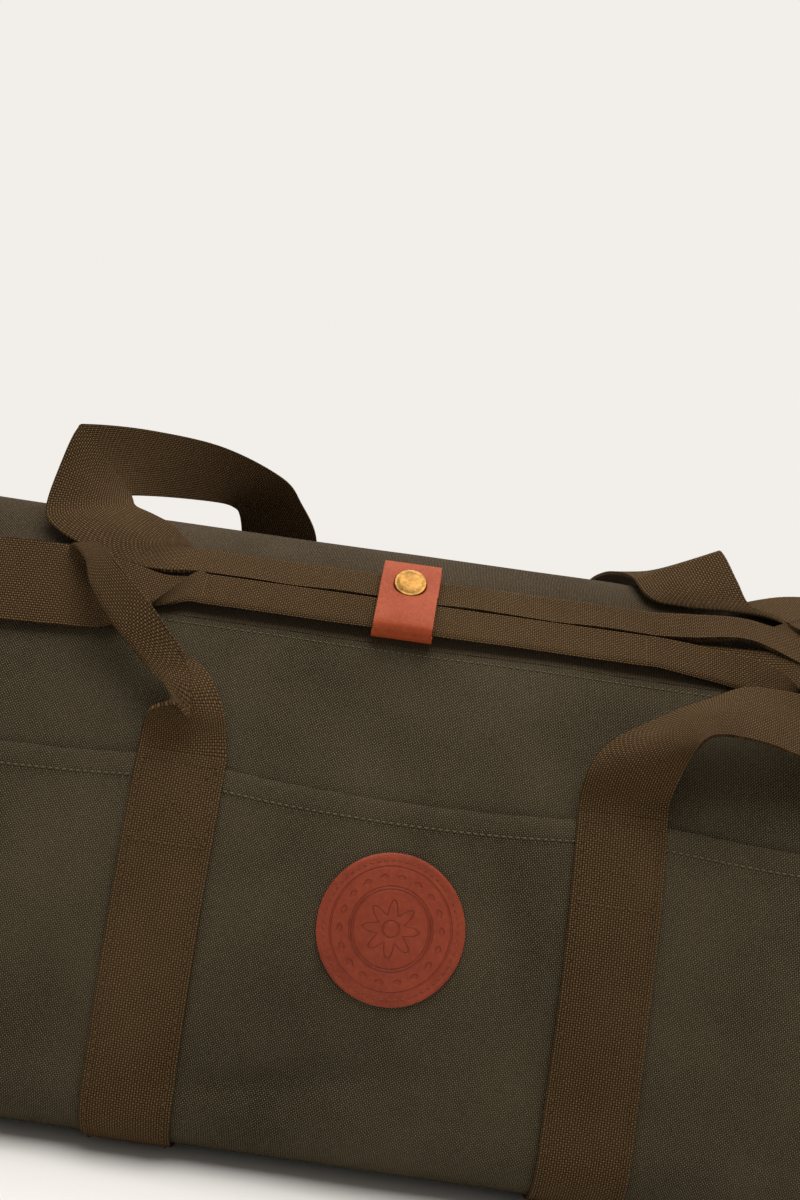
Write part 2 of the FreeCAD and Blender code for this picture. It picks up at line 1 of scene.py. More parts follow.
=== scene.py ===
# %% Load the frame
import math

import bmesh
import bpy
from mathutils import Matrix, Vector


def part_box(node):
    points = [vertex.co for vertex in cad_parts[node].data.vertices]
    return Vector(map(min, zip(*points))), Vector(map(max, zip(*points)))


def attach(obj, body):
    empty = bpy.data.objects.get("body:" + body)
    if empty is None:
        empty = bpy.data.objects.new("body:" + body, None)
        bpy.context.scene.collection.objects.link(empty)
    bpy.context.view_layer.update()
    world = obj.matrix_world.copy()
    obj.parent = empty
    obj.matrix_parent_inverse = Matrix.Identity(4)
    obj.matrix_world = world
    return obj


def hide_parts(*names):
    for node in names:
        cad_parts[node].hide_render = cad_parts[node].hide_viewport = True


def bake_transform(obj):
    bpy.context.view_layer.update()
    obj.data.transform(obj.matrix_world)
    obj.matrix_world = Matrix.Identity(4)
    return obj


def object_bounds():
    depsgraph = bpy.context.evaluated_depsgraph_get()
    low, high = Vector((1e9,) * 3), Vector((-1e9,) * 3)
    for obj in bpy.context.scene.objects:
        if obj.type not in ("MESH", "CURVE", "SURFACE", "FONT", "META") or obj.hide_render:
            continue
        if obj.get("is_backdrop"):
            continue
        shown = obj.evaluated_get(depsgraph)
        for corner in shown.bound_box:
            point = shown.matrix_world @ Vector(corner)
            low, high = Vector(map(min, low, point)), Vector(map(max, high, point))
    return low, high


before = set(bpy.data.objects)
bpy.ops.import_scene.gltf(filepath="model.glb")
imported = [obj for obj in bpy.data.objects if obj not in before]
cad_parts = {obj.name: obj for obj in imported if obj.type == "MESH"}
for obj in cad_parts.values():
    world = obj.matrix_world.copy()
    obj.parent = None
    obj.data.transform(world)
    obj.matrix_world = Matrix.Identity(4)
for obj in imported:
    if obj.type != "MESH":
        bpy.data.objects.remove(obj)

# %% [markdown]
# # A waxed canvas duffel bag
# The bag is a soft tube of canvas with two round-cornered ends, a zipped top, two bands of
# cotton webbing sewn right round it, and two carry handles whose grips are held together by
# a snapped wrap of leather. The frame that was just loaded holds the plain, measured parts.
# Here each of them gets its cloth, its folds and its finish. All sizes are in metres: X runs
# along the bag, -Y is the front with the pocket, and Z is up.

cad_box = [list(corner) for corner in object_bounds()]
print("box of the measured parts", [[round(v, 3) for v in corner] for corner in cad_box])

# %% [markdown]
# ## The camera
# A short distance and a slightly wide lens give the strong foreshortening of a bag on a low
# table, seen from a little above and with the camera tilted. The three directions below are
# worked out from the turn, the downward pitch and the tilt.

# %% Camera
CAMERA_PLACE = Vector((-0.005, -0.653, 0.274))
CAMERA_TURN, CAMERA_PITCH, CAMERA_TILT = (math.radians(a) for a in (-0.73, 2.77, 7.97))
LENS_TO_HEIGHT = 1.0693


def set_camera():
    ahead = Vector((
        math.sin(CAMERA_TURN) * math.cos(CAMERA_PITCH),
        math.cos(CAMERA_TURN) * math.cos(CAMERA_PITCH),
        -math.sin(CAMERA_PITCH),
    ))
    level = Vector((math.cos(CAMERA_TURN), -math.sin(CAMERA_TURN), 0))
    upward = level.cross(ahead)
    right = level * math.cos(CAMERA_TILT) + upward * math.sin(CAMERA_TILT)
    above = upward * math.cos(CAMERA_TILT) - level * math.sin(CAMERA_TILT)
    data = bpy.data.cameras.new("camera")
    data.sensor_fit = "VERTICAL"
    data.sensor_height = 24.0
    data.lens = 24.0 * LENS_TO_HEIGHT
    data.clip_start = 0.01
    camera = bpy.data.objects.new("camera", data)
    bpy.context.collection.objects.link(camera)
    turn = Matrix((right, above, -ahead)).transposed().to_4x4()
    camera.matrix_world = Matrix.Translation(CAMERA_PLACE) @ turn
    bpy.context.scene.camera = camera
    print("lens", round(data.lens, 1), "mm at", round(CAMERA_PLACE.length, 2), "m")


set_camera()

# %% [markdown]
# ## The cross-section
# The bag's outline is the same along its length: a flat base, a round corner, a wall that
# leans back in one long arc, a straight shoulder above the seam, and a crown that runs flat
# into the zip. A function that turns a distance along the cloth into a place and an outward
# direction lets every sewn-on piece follow the same skin at its own height.

# %% Cross-section
FRONT, BACK = -1, 1
BASE_HALF = 0.105
SEAM_HALF = 0.074
SLOPE = math.radians(41)
SHOULDER = 0.044
BELLY = -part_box("front_panel")[0][1]
CORNER = BELLY - BASE_HALF
SEAM_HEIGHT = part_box("front_panel")[1][2]
LIFT = {FRONT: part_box("front_panel")[0][2], BACK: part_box("back_panel")[0][2]}
SLOT_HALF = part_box("top_panel_back")[0][1]
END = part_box("front_panel")[1][0]
RIM_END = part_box("piping_right")[1][0]
CROWN = (SEAM_HALF - SHOULDER * math.cos(SLOPE) - SLOT_HALF) / math.sin(SLOPE)
CORNER_LENGTH = CORNER * math.pi / 2
CROWN_LENGTH = CROWN * SLOPE


def wall_shape(side):
    """Radius and turn of the wall's arc on one side."""
    lean = BELLY - SEAM_HALF
    rise = SEAM_HEIGHT - CORNER - LIFT[side]
    radius = (lean * lean + rise * rise) / (2 * lean)
    return radius, math.asin(rise / radius)


def wall_length(side):
    radius, turn = wall_shape(side)
    return CORNER_LENGTH + radius * turn


def section(side, along):
    """Place (y, z) and outward direction at a distance up the cloth from the base edge."""
    radius, turn = wall_shape(side)
    seam = wall_length(side)
    if along < 0:
        return side * (BASE_HALF + along), LIFT[side], 0.0, -1.0
    if along < CORNER_LENGTH:
        a = along / CORNER
        y = BASE_HALF + CORNER * math.sin(a)
        return side * y, LIFT[side] + CORNER * (1 - math.cos(a)), side * math.sin(a), -math.cos(a)
    if along < seam:
        a = (along - CORNER_LENGTH) / radius
        y = BELLY - radius * (1 - math.cos(a))
        z = LIFT[side] + CORNER + radius * math.sin(a)
        return side * y, z, side * math.cos(a), math.sin(a)
    if along < seam + SHOULDER:
        step = along - seam
        y = SEAM_HALF - step * math.cos(SLOPE)
        z = SEAM_HEIGHT + step * math.sin(SLOPE)
        return side * y, z, side * math.sin(SLOPE), math.cos(SLOPE)
    a = SLOPE - (along - seam - SHOULDER) / CROWN
    lean, past = max(a, 0.0), max(-a, 0.0)
    y = SLOT_HALF + CROWN * math.sin(lean) - past * CROWN
    z = SEAM_HEIGHT + SHOULDER * math.sin(SLOPE) + CROWN * (math.cos(lean) - math.cos(SLOPE))
    return side * y, z, side * math.sin(lean), math.cos(lean)


def wall_distance(side, height):
    """How far up the cloth a height on the wall lies."""
    radius, _ = wall_shape(side)
    return CORNER_LENGTH + radius * math.asin((height - LIFT[side] - CORNER) / radius)


WALL_TOP = {side: wall_length(side) for side in (FRONT, BACK)}
TOP_EDGE = {side: WALL_TOP[side] + SHOULDER + CROWN_LENGTH for side in (FRONT, BACK)}
print("cloth from base to zip", round(TOP_EDGE[FRONT], 3), "m")

# %% [markdown]
# ## How the cloth gives
# Filled canvas is never a clean cylinder: it bulges between its seams, sinks between its
# bands, and creases above the base where it is sat down. A few slow waves, which die out at
# the seams and rims, move every point of the skin outwards or inwards. The pocket, bands and
# patch are sewn on, so they read the same function and move with it.

# %% Softness


def fade(value, start, end):
    """A smooth step from 0 at start to 1 at end."""
    t = min(max((value - start) / (end - start), 0.0), 1.0)
    return t * t * (3 - 2 * t)


def softness(side, x, along):
    seam = WALL_TOP[side]
    rims = fade(END - abs(x), 0.0, 0.06)
    base = fade(along, 0.02, 0.07)
    hold = 1 - 0.75 * fade(along, seam - 0.03, seam)
    waves = 0.0021 * math.sin(27 * x + 9 * along + 0.7) * math.sin(15 * along + 0.5)
    waves += 0.0012 * math.sin(55 * x - 38 * along + 1.9)
    waves += 0.0006 * math.sin(118 * x + 64 * along) * math.sin(31 * x + 2.0)
    crease = -0.0030 * math.exp(-(((along - 0.062 - 0.20 * (x + 0.02)) / 0.006) ** 2))
    crease *= math.exp(-(((x + 0.035) / 0.045) ** 2)) * (1 if side == FRONT else 0)
    sag = -0.00175 * fade(along, seam - 0.10, seam - 0.02) * math.cos(9 * x)
    top = 1 - 0.8 * fade(along, seam, seam + 0.012)
    return rims * base * hold * top * (waves + sag) + crease * rims - 0.0008 * rims * base


def skin(side, x, along, height=0.0):
    """A point on the soft skin, raised by height along its outward direction."""
    y, z, out_y, out_z = section(side, along)
    give = softness(side, x, along) + height
    return Vector((x, y + out_y * give, z + out_z * give))


def skin_out(side, along):
    _, _, out_y, out_z = section(side, along)
    return Vector((0, out_y, out_z))


# %% [markdown]
# ## Colour and weave
# A woven material has three scales: the yarns that cross over and under each other, the
# uneven dye and wear over a hand's width, and the soft sheen of loose fibres. The yarns are
# made from two sine profiles and a chequer that says which yarn is on top. They read each
# piece's own UV map, which holds real metres, so a weave keeps its size on every piece.

# %% Material helpers


def new_material(name, roughness=0.85):
    material = bpy.data.materials.new(name)
    material.use_nodes = True
    tree = material.node_tree
    shader = tree.nodes["Principled BSDF"]
    shader.inputs["Roughness"].default_value = roughness
    return material, tree, shader


def calc(tree, operation, first, second=None, third=None):
    """One Math node; each input is a number or a socket."""
    node = tree.nodes.new("ShaderNodeMath")
    node.operation = operation
    for socket, source in zip(node.inputs, (first, second, third)):
        if source is None:
            continue
        if isinstance(source, (int, float)):
            socket.default_value = source
        else:
            tree.links.new(source, socket)
    return node.outputs[0]


def blend_colours(tree, factor, first, second, mode="MIX"):
    node = tree.nodes.new("ShaderNodeMix")
    node.data_type = "RGBA"
    node.blend_type = mode
    for number, source in ((0, factor), (6, first), (7, second)):
        if isinstance(source, (int, float)):
            node.inputs[number].default_value = source
        elif isinstance(source, tuple):
            node.inputs[number].default_value = (*source, 1)
        else:
            tree.links.new(source, node.inputs[number])
    return node.outputs[2]


def coordinates(tree, kind):
    node = tree.nodes.new("ShaderNodeTexCoord")
    return node.outputs[kind]


def noise(tree, source, scale, detail=3.0, roughness=0.55):
    node = tree.nodes.new("ShaderNodeTexNoise")
    node.inputs["Scale"].default_value = scale
    node.inputs["Detail"].default_value = detail
    node.inputs["Roughness"].default_value = roughness
    tree.links.new(source, node.inputs["Vector"])
    return node.outputs["Fac"]


def ramp(tree, source, low, high):
    """Stretch a factor so that low becomes 0 and high becomes 1."""
    node = tree.nodes.new("ShaderNodeMapRange")
    node.inputs["From Min"].default_value = low
    node.inputs["From Max"].default_value = high
    tree.links.new(source, node.inputs["Value"])
    return node.outputs["Result"]


def bump(tree, shader, height, distance, strength=1.0):
    node = tree.nodes.new("ShaderNodeBump")
    node.inputs["Distance"].default_value = distance
    node.inputs["Strength"].default_value = strength
    tree.links.new(height, node.inputs["Height"])
    tree.links.new(node.outputs["Normal"], shader.inputs["Normal"])


def weave(tree, pitch_across, pitch_along):
    """Height of a plain weave, and the chequer that says which yarn lies on top."""
    split = tree.nodes.new("ShaderNodeSeparateXYZ")
    tree.links.new(coordinates(tree, "UV"), split.inputs[0])
    wobble = calc(tree, "MULTIPLY", noise(tree, coordinates(tree, "UV"), 160, 2), 0.0006)
    across = calc(tree, "ADD", split.outputs[0], wobble)
    along = calc(tree, "ADD", split.outputs[1], wobble)
    warp = calc(tree, "SINE", calc(tree, "MULTIPLY", across, math.pi / pitch_across))
    weft = calc(tree, "SINE", calc(tree, "MULTIPLY", along, math.pi / pitch_along))
    chequer = calc(tree, "GREATER_THAN", calc(tree, "MULTIPLY", warp, weft), 0.0)
    round_warp = calc(tree, "ABSOLUTE", warp)
    round_weft = calc(tree, "ABSOLUTE", weft)
    over_warp = calc(tree, "MULTIPLY", round_warp, calc(tree, "MULTIPLY_ADD", round_weft, 0.5, 0.5))
    over_weft = calc(tree, "MULTIPLY", round_weft, calc(tree, "MULTIPLY_ADD", round_warp, 0.5, 0.5))
    up = calc(tree, "MULTIPLY", over_warp, chequer)
    down = calc(tree, "MULTIPLY", over_weft, calc(tree, "SUBTRACT", 1.0, chequer))
    return calc(tree, "ADD", up, down), chequer


def woven_material(name, shade, light, dark, pitches, depth, sheen=0.1):
    """Cloth: painted shade in the gaps between yarns, the base colour, a painted highlight on the yarn
    crowns, and slow variation in the dye.
    """
    material, tree, shader = new_material(name, 0.88)
    height, chequer = weave(tree, *pitches)
    body = coordinates(tree, "Object")
    slow = ramp(tree, noise(tree, body, 14, 4), 0.3, 0.7)
    fine = ramp(tree, noise(tree, body, 700, 2, 0.7), 0.25, 0.75)
    # painted shade: the gaps between the yarns are coloured dark
    yarn = blend_colours(tree, ramp(tree, height, 0.2, 0.7), dark, shade)
    # painted highlight: the yarn crowns are coloured pale, most where the warp lies on top
    crown = ramp(tree, height, 0.5, 0.95)
    crown = calc(tree, "MULTIPLY", crown, calc(tree, "MULTIPLY_ADD", fine, 0.6, 0.4))
    crown = calc(tree, "MULTIPLY", crown, calc(tree, "MULTIPLY_ADD", chequer, 0.75, 0.25))
    yarn = blend_colours(tree, crown, yarn, light)
    worn = blend_colours(tree, calc(tree, "MULTIPLY", slow, 0.12), yarn, light)
    tree.links.new(worn, shader.inputs["Base Color"])
    rough = calc(tree, "MULTIPLY_ADD", slow, -0.12, 0.92)
    tree.links.new(rough, shader.inputs["Roughness"])
    shader.inputs["Sheen Weight"].default_value = sheen
    shader.inputs["Sheen Roughness"].default_value = 0.4
    shader.inputs["Sheen Tint"].default_value = (*light, 1)
    shader.inputs["Specular IOR Level"].default_value = 0.08
    bump(tree, shader, height, depth, 0.8)
    return material


# %% [markdown]
# ### Cloth finishes
# The canvas is a dense plain weave in dark olive. The light its yarn crowns catch is painted
# into their colour as pale dots, a painted highlight, and the gaps between yarns get painted
# shade. The webbing is a coarser and browner cotton, and the zip tape a finer one, painted the
# same way. Thread has a twist instead of a weave.

# %% Cloth finishes
CANVAS_PITCH = (0.00074, 0.00074)
WEBBING_PITCH = (0.00108, 0.00096)
TAPE_PITCH = (0.0005, 0.0005)
# Of the three colours of each cloth, the first is the yarn's own colour, the second the painted highlight
# on its crowns and the third the painted shade in its gaps
CANVAS = woven_material(
    "canvas", (0.028, 0.020, 0.0095), (0.235, 0.185, 0.108), (0.003, 0.002, 0.001), CANVAS_PITCH, 0.00030
)
CANVAS_TOP = woven_material(
    "canvas_top", (0.030, 0.020, 0.0098), (0.225, 0.165, 0.098), (0.003, 0.002, 0.001), CANVAS_PITCH,
    0.00030,
)
WEBBING = woven_material(
    "webbing", (0.050, 0.026, 0.0085), (0.225, 0.135, 0.060), (0.005, 0.0025, 0.001), WEBBING_PITCH, 0.00055
)
TAPE = woven_material(
    "zip_tape", (0.030, 0.024, 0.016), (0.07, 0.056, 0.04), (0.012, 0.009, 0.006), TAPE_PITCH, 0.00012
)


def thread_material(name, shade):
    material, tree, shader = new_material(name, 0.7)
    twist = noise(tree, coordinates(tree, "Object"), 2600, 2)
    dark = tuple(c * 0.5 for c in shade)
    colour = blend_colours(tree, ramp(tree, twist, 0.35, 0.65), dark, shade)
    tree.links.new(colour, shader.inputs["Base Color"])
    shader.inputs["Specular IOR Level"].default_value = 0.15
    bump(tree, shader, twist, 0.0001)
    return material


THREAD = thread_material("thread_olive", (0.125, 0.105, 0.062))
THREAD_BROWN = thread_material("thread_brown", (0.105, 0.066, 0.030))
THREAD_RUST = thread_material("thread_rust", (0.25, 0.07, 0.035))

# %% [markdown]
# ### Leather
# Vegetable-tanned leather has a fine pebbled grain, a cloudy dye and a waxy, uneven gloss.
# The patch also carries a pressed pattern: rings, a belt of dots and a plain rosette. The
# press only moves the surface by tenths of a millimetre, so a bump from the distance to the
# patch's middle is enough, and the leather is darker where the stamp pressed it.

# %% Leather


def leather_material(name, shade, pale, dark, pressed=False):
    material, tree, shader = new_material(name, 0.5)
    body = coordinates(tree, "Object")
    cells = tree.nodes.new("ShaderNodeTexVoronoi")
    cells.feature = "DISTANCE_TO_EDGE"
    cells.inputs["Scale"].default_value = 1500
    tree.links.new(body, cells.inputs["Vector"])
    grain = ramp(tree, cells.outputs["Distance"], 0.0, 0.35)
    cloud = ramp(tree, noise(tree, body, 55, 5, 0.6), 0.3, 0.7)
    speck = ramp(tree, noise(tree, body, 420, 3, 0.7), 0.35, 0.7)
    colour = blend_colours(tree, cloud, dark, shade)
    colour = blend_colours(tree, calc(tree, "MULTIPLY", speck, 0.35), colour, pale)
    crease = calc(tree, "SUBTRACT", 1.0, grain)
    colour = blend_colours(tree, calc(tree, "MULTIPLY", crease, 0.35), colour, dark)
    height = calc(tree, "MULTIPLY", grain, 0.12)
    if pressed:
        stamp = stamp_height(tree)
        struck = calc(tree, "SUBTRACT", 1.0, stamp)
        colour = blend_colours(tree, calc(tree, "MULTIPLY", struck, 0.30), colour, dark)
        height = calc(tree, "ADD", calc(tree, "MULTIPLY", stamp, 0.9), height)
    tree.links.new(colour, shader.inputs["Base Color"])
    tree.links.new(calc(tree, "MULTIPLY_ADD", cloud, -0.12, 0.58), shader.inputs["Roughness"])
    shader.inputs["Specular IOR Level"].default_value = 0.15
    bump(tree, shader, height, 0.0006)
    return material


RING_INNER, RING_OUTER = 0.0172, 0.0252
RING_GAP = 0.0012
HUB_RADIUS = 0.0034
PETALS, DOTS = 8.0, 18.0


def stamp_height(tree):
    """1 on the untouched face, lower in the lines and dots that the stamp pressed."""
    split = tree.nodes.new("ShaderNodeSeparateXYZ")
    tree.links.new(coordinates(tree, "UV"), split.inputs[0])
    x, y = split.outputs[0], split.outputs[1]
    square = calc(tree, "ADD", calc(tree, "MULTIPLY", x, x), calc(tree, "MULTIPLY", y, y))
    radius = calc(tree, "SQRT", square)
    angle = calc(tree, "ARCTAN2", y, x)
    height = 1.0
    for ring in (RING_INNER, RING_INNER - RING_GAP, RING_OUTER):
        gap = calc(tree, "ABSOLUTE", calc(tree, "SUBTRACT", radius, ring))
        groove = ramp(tree, gap, 0.00022, 0.00055)
        height = calc(tree, "MULTIPLY", groove, height)
    wave = calc(tree, "COSINE", calc(tree, "MULTIPLY", angle, PETALS))
    lobes = calc(tree, "MULTIPLY_ADD", wave, 0.0028, 0.0088)
    petals = calc(tree, "ABSOLUTE", calc(tree, "SUBTRACT", radius, lobes))
    height = calc(tree, "MULTIPLY", height, ramp(tree, petals, 0.0002, 0.0006))
    hub = calc(tree, "ABSOLUTE", calc(tree, "SUBTRACT", radius, HUB_RADIUS))
    height = calc(tree, "MULTIPLY", height, ramp(tree, hub, 0.0002, 0.0006))
    turn = calc(tree, "SINE", calc(tree, "MULTIPLY", angle, DOTS))
    middle = (RING_INNER + RING_OUTER) / 2
    belt = calc(tree, "ABSOLUTE", calc(tree, "SUBTRACT", radius, middle))
    dot = calc(tree, "MULTIPLY_ADD", turn, 0.0011, -0.0002)
    dots = calc(tree, "SUBTRACT", belt, dot)
    return calc(tree, "MULTIPLY", height, ramp(tree, dots, -0.0001, 0.0004))


LEATHER = leather_material(
    "leather_wrap", (0.365, 0.062, 0.018), (0.48, 0.110, 0.038), (0.260, 0.040, 0.011)
)
LEATHER_PATCH = leather_material(
    "leather_patch", (0.275, 0.045, 0.019), (0.36, 0.080, 0.034), (0.175, 0.027, 0.012), pressed=True
)
LEATHER_EDGE = leather_material("leather_edge", (0.42, 0.15, 0.07), (0.52, 0.22, 0.11), (0.27, 0.07, 0.03))

# %% [markdown]
# ### Metal
# The snap and the zip slider are aged brass: a warm metal whose gloss is broken by fine
# scratches and darker tarnish in patches.

# %% Metal


def brass_material():
    material, tree, shader = new_material("aged_brass", 0.34)
    body = coordinates(tree, "Object")
    tarnish = ramp(tree, noise(tree, body, 260, 5, 0.65), 0.4, 0.72)
    colour = blend_colours(tree, tarnish, (0.2, 0.1, 0.026), (0.1, 0.05, 0.014))
    tree.links.new(colour, shader.inputs["Base Color"])
    tree.links.new(calc(tree, "MULTIPLY_ADD", tarnish, 0.2, 0.22), shader.inputs["Roughness"])
    shader.inputs["Metallic"].default_value = 1.0
    bump(tree, shader, noise(tree, body, 1800, 3), 0.00006)
    return material


BRASS = brass_material()

# %% [markdown]
# ## Making cloth
# Each sheet starts as a flat grid, and a function lays its vertices where the cloth goes.
# The flat places are kept as the UV map, in metres, so the weave isn't stretched. Solidify
# then gives the real thickness, and the result is written into the mesh.

# %% Sheets
SHARP_FROM = math.radians(50)


def settle(piece):
    """Write the modifiers into the mesh, and shade it smooth but for its sharp edges."""
    bpy.context.view_layer.update()
    graph = bpy.context.evaluated_depsgraph_get()
    mesh = bpy.data.meshes.new_from_object(piece.evaluated_get(graph))
    piece.modifiers.clear()
    piece.data = mesh
    for face in mesh.polygons:
        face.use_smooth = True
    mesh.set_sharp_from_angle(angle=SHARP_FROM)
    return piece


def piece_from(bm, name, material):
    mesh = bpy.data.meshes.new(name)
    bm.to_mesh(mesh)
    bm.free()
    piece = bpy.data.objects.new(name, mesh)
    bpy.context.collection.objects.link(piece)
    for finish in material if isinstance(material, (list, tuple)) else [material]:
        mesh.materials.append(finish)
    return piece


def laid_sheet(
    name, across, along, cells, place, material, thickness, offset=-1.0, seen_from=None, even=True
):
    """A grid over the ranges across and along, laid by place(a, b) and thickened."""
    bm = bmesh.new()
    bmesh.ops.create_grid(bm, x_segments=cells[0], y_segments=cells[1], size=1.0)
    layer = bm.loops.layers.uv.new("UVMap")
    flat = {}
    for vertex in bm.verts:
        a = across[0] + (across[1] - across[0]) * (vertex.co.x + 1) / 2
        b = along[0] + (along[1] - along[0]) * (vertex.co.y + 1) / 2
        flat[vertex] = (a, b)
    for face in bm.faces:
        for loop in face.loops:
            loop[layer].uv = flat[loop.vert]
    for vertex in bm.verts:
        vertex.co = place(*flat[vertex])
    bm.normal_update()
    if seen_from is not None:
        facing = sum(face.normal.dot(Vector(seen_from)) * face.calc_area() for face in bm.faces)
        if facing < 0:
            bmesh.ops.reverse_faces(bm, faces=bm.faces)
    piece = piece_from(bm, name, material)
    thick = piece.modifiers.new("thickness", "SOLIDIFY")
    thick.thickness = thickness
    thick.offset = offset
    thick.use_even_offset = even
    return settle(piece)


def scale_weave(piece, across, along):
    """Turn a sheet's flat places into metres where they were given as shares."""
    for item in piece.data.uv_layers[0].data:
        item.uv = (item.uv[0] * across, item.uv[1] * along)


# %% [markdown]
# ## The canvas tube
# Front and back are one sheet each, from the base edge up to the seam under the grips, and
# the base is a third. They are cut from one cloth, so their edges are laid at the same
# places and meet in the seams.

# %% Canvas tube
CLOTH = 0.0018
WALL_LAP, BASE_LAP = 0.004, 0.002


def wall_sheet(word, side):
    def place(x, along):
        return skin(side, x, along)

    piece = laid_sheet(
        f"{word}_canvas", (-END, END), (-WALL_LAP, WALL_TOP[side]), (170, 84), place, CANVAS,
        CLOTH, seen_from=(0, side, 0),
    )
    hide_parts(f"{word}_panel")
    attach(piece, "bag")
    print(piece.name, len(piece.data.polygons), "faces")


wall_sheet("front", FRONT)
wall_sheet("back", BACK)


def base_sheet():
    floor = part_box("base_panel")

    def place(x, y):
        return Vector((x, y, floor[0][2] + 0.0016 + 0.0005 * math.sin(40 * x) * math.sin(30 * y)))

    piece = laid_sheet(
        "base_canvas", (-END, END), (-BASE_HALF - BASE_LAP, BASE_HALF + BASE_LAP), (60, 24), place,
        CANVAS, 0.003, seen_from=(0, 0, -1),
    )
    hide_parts("base_panel")
    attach(piece, "bag")


base_sheet()

# %% [markdown]
# ## The ends
# An end panel is the outline filled with canvas, crowned a few millimetres by the packed
# bag, and joined to the tube by a piped rim: a cord wrapped in canvas. The panel is a square
# grid pulled out to the outline's width at each height; the rim is a round curve led along
# the same outline.

# %% Ends
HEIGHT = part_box("top_panel_front")[1][2]
END_ROWS = 48
END_INSET = 0.001
RIM_RADIUS = 0.0027


def outline_points(side_steps, inset):
    """The outline from the front base edge over the top to the back base edge."""
    points = []
    for side, order in ((FRONT, 1), (BACK, -1)):
        steps = [TOP_EDGE[side] * i / side_steps for i in range(side_steps + 1)][::order]
        for along in steps:
            y, z, out_y, out_z = section(side, along)
            points.append((y - out_y * inset, z - out_z * inset))
    return points


def half_width(height, inset):
    """The outline's half width at one height, read from the front half of the outline."""
    front = [p for p in outline_points(60, inset) if p[0] <= -SLOT_HALF * 0.5]
    if height <= front[0][1]:
        return -front[0][0]
    for low, high in zip(front, front[1:]):
        if low[1] <= height <= high[1]:
            share = (height - low[1]) / max(high[1] - low[1], 1e-9)
            return -(low[0] + (high[0] - low[0]) * share)
    return -front[-1][0]


def end_panel(word, end):
    low, high = LIFT[FRONT] + END_INSET, HEIGHT - 0.0015
    widths = [half_width(low + (high - low) * i / END_ROWS, END_INSET) for i in range(END_ROWS + 1)]

    def place(across, up):
        spot = min(max(up, 0.0), 1.0) * END_ROWS
        first = min(int(spot), END_ROWS - 1)
        width = widths[first] + (widths[first + 1] - widths[first]) * (spot - first)
        crown = 0.0042 * (1 - across ** 4) * (1 - (2 * up - 1) ** 4)
        ripple = 0.0008 * math.sin(7 * across + 9 * up) * (1 - across ** 2) * math.sin(math.pi * up)
        bulge = (crown + ripple) * 0.5
        return Vector((end * (END - 0.0012 + bulge), across * width, low + (high - low) * up))

    piece = laid_sheet(
        f"end_canvas_{word}", (-1, 1), (0, 1), (40, END_ROWS), place, CANVAS, CLOTH,
        seen_from=(end, 0, 0),
    )
    scale_weave(piece, BELLY, HEIGHT)
    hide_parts(f"end_panel_{word}")
    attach(piece, "bag")
    area = 2 * sum(widths[:-1]) * (high - low) / END_ROWS


def closed_tube(name, points, radius, material):
    """A round cord led along points and back to the first, as a curve turned into a mesh."""
    data = bpy.data.curves.new(name, "CURVE")
    data.dimensions = "3D"
    data.bevel_depth = radius
    data.bevel_resolution = 3
    spline = data.splines.new("NURBS")
    spline.points.add(len(points) - 1)
    for point, place in zip(spline.points, points):
        point.co = (*place, 1)
    spline.use_cyclic_u = True
    spline.order_u = 3
    spline.resolution_u = 3
    cord = bpy.data.objects.new(name, data)
    bpy.context.collection.objects.link(cord)
    bpy.context.view_layer.update()
    mesh = bpy.data.meshes.new_from_object(cord.evaluated_get(bpy.context.evaluated_depsgraph_get()))
    bpy.data.objects.remove(cord)
    piece = bpy.data.objects.new(name, mesh)
    bpy.context.collection.objects.link(piece)
    mesh.materials.clear()
    mesh.materials.append(material)
    for face in mesh.polygons:
        face.use_smooth = True
    if not mesh.uv_layers:
        layer = mesh.uv_layers.new(name="UVMap")
        for loop, item in zip(mesh.loops, layer.data):
            co = mesh.vertices[loop.vertex_index].co
            item.uv = (co.y + co.x, co.z)
    return piece


def rim(word, end):
    outline = outline_points(20, RIM_RADIUS * 0.6)
    places = [Vector((end * (END + 0.0015), y, max(z, RIM_RADIUS))) for y, z in outline]
    piece = closed_tube(f"piped_rim_{word}", places, RIM_RADIUS, CANVAS)
    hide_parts(f"piping_{word}")
    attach(piece, "bag")


for word, end in (("left", -1), ("right", 1)):
    end_panel(word, end)
    rim(word, end)

# %% [markdown]
# ## The top
# Each half of the top is hinged by its seam and sewn fast at both ends, so on the open bag
# its middle drops in and its ends stay: the mouth opens as a lens. Every half is made as a
# left and a right sheet.


def bend_top(piece, word, end):
    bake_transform(piece)


def top_sheet(word, side, end_word, end):
    def place(x, along):
        tuck = 0.0006 * fade(along, TOP_EDGE[side] - 0.004, TOP_EDGE[side])
        return skin(side, x, along, -tuck)

    span = (0.0, END) if end > 0 else (-END, 0.0)
    piece = laid_sheet(
        f"top_{word}_canvas_{end_word}", span, (WALL_TOP[side] + 0.0004, TOP_EDGE[side]), (80, 30), place,
        CANVAS_TOP, CLOTH, seen_from=(0, 0, 1),
    )
    if end > 0:
        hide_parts(f"top_panel_{word}")
    if side == FRONT:
        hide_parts(f"top_end_{end_word}")
    bend_top(piece, word, end)


for end_word, end in (("left", -1), ("right", 1)):
    for word, side in (("front", FRONT), ("back", BACK)):
        top_sheet(word, side, end_word, end)

# %% [markdown]
# ## The zip
# A coil zip is a spiral of nylon sewn along the edge of a woven tape. Close to, each turn
# reads as one small rounded tooth, and the turns of the two sides lie between each other.
# Hundreds of turns would be heavy as true spirals, so each is a low block with its edges
# taken off.

# %% Zip
TAPE_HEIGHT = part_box("zip_tape_front")[1][2]
TAPE_WIDTH = 0.011
TURN_PITCH = 0.0022
ZIP_REACH = END - 0.003
TURNS = int(ZIP_REACH / TURN_PITCH)


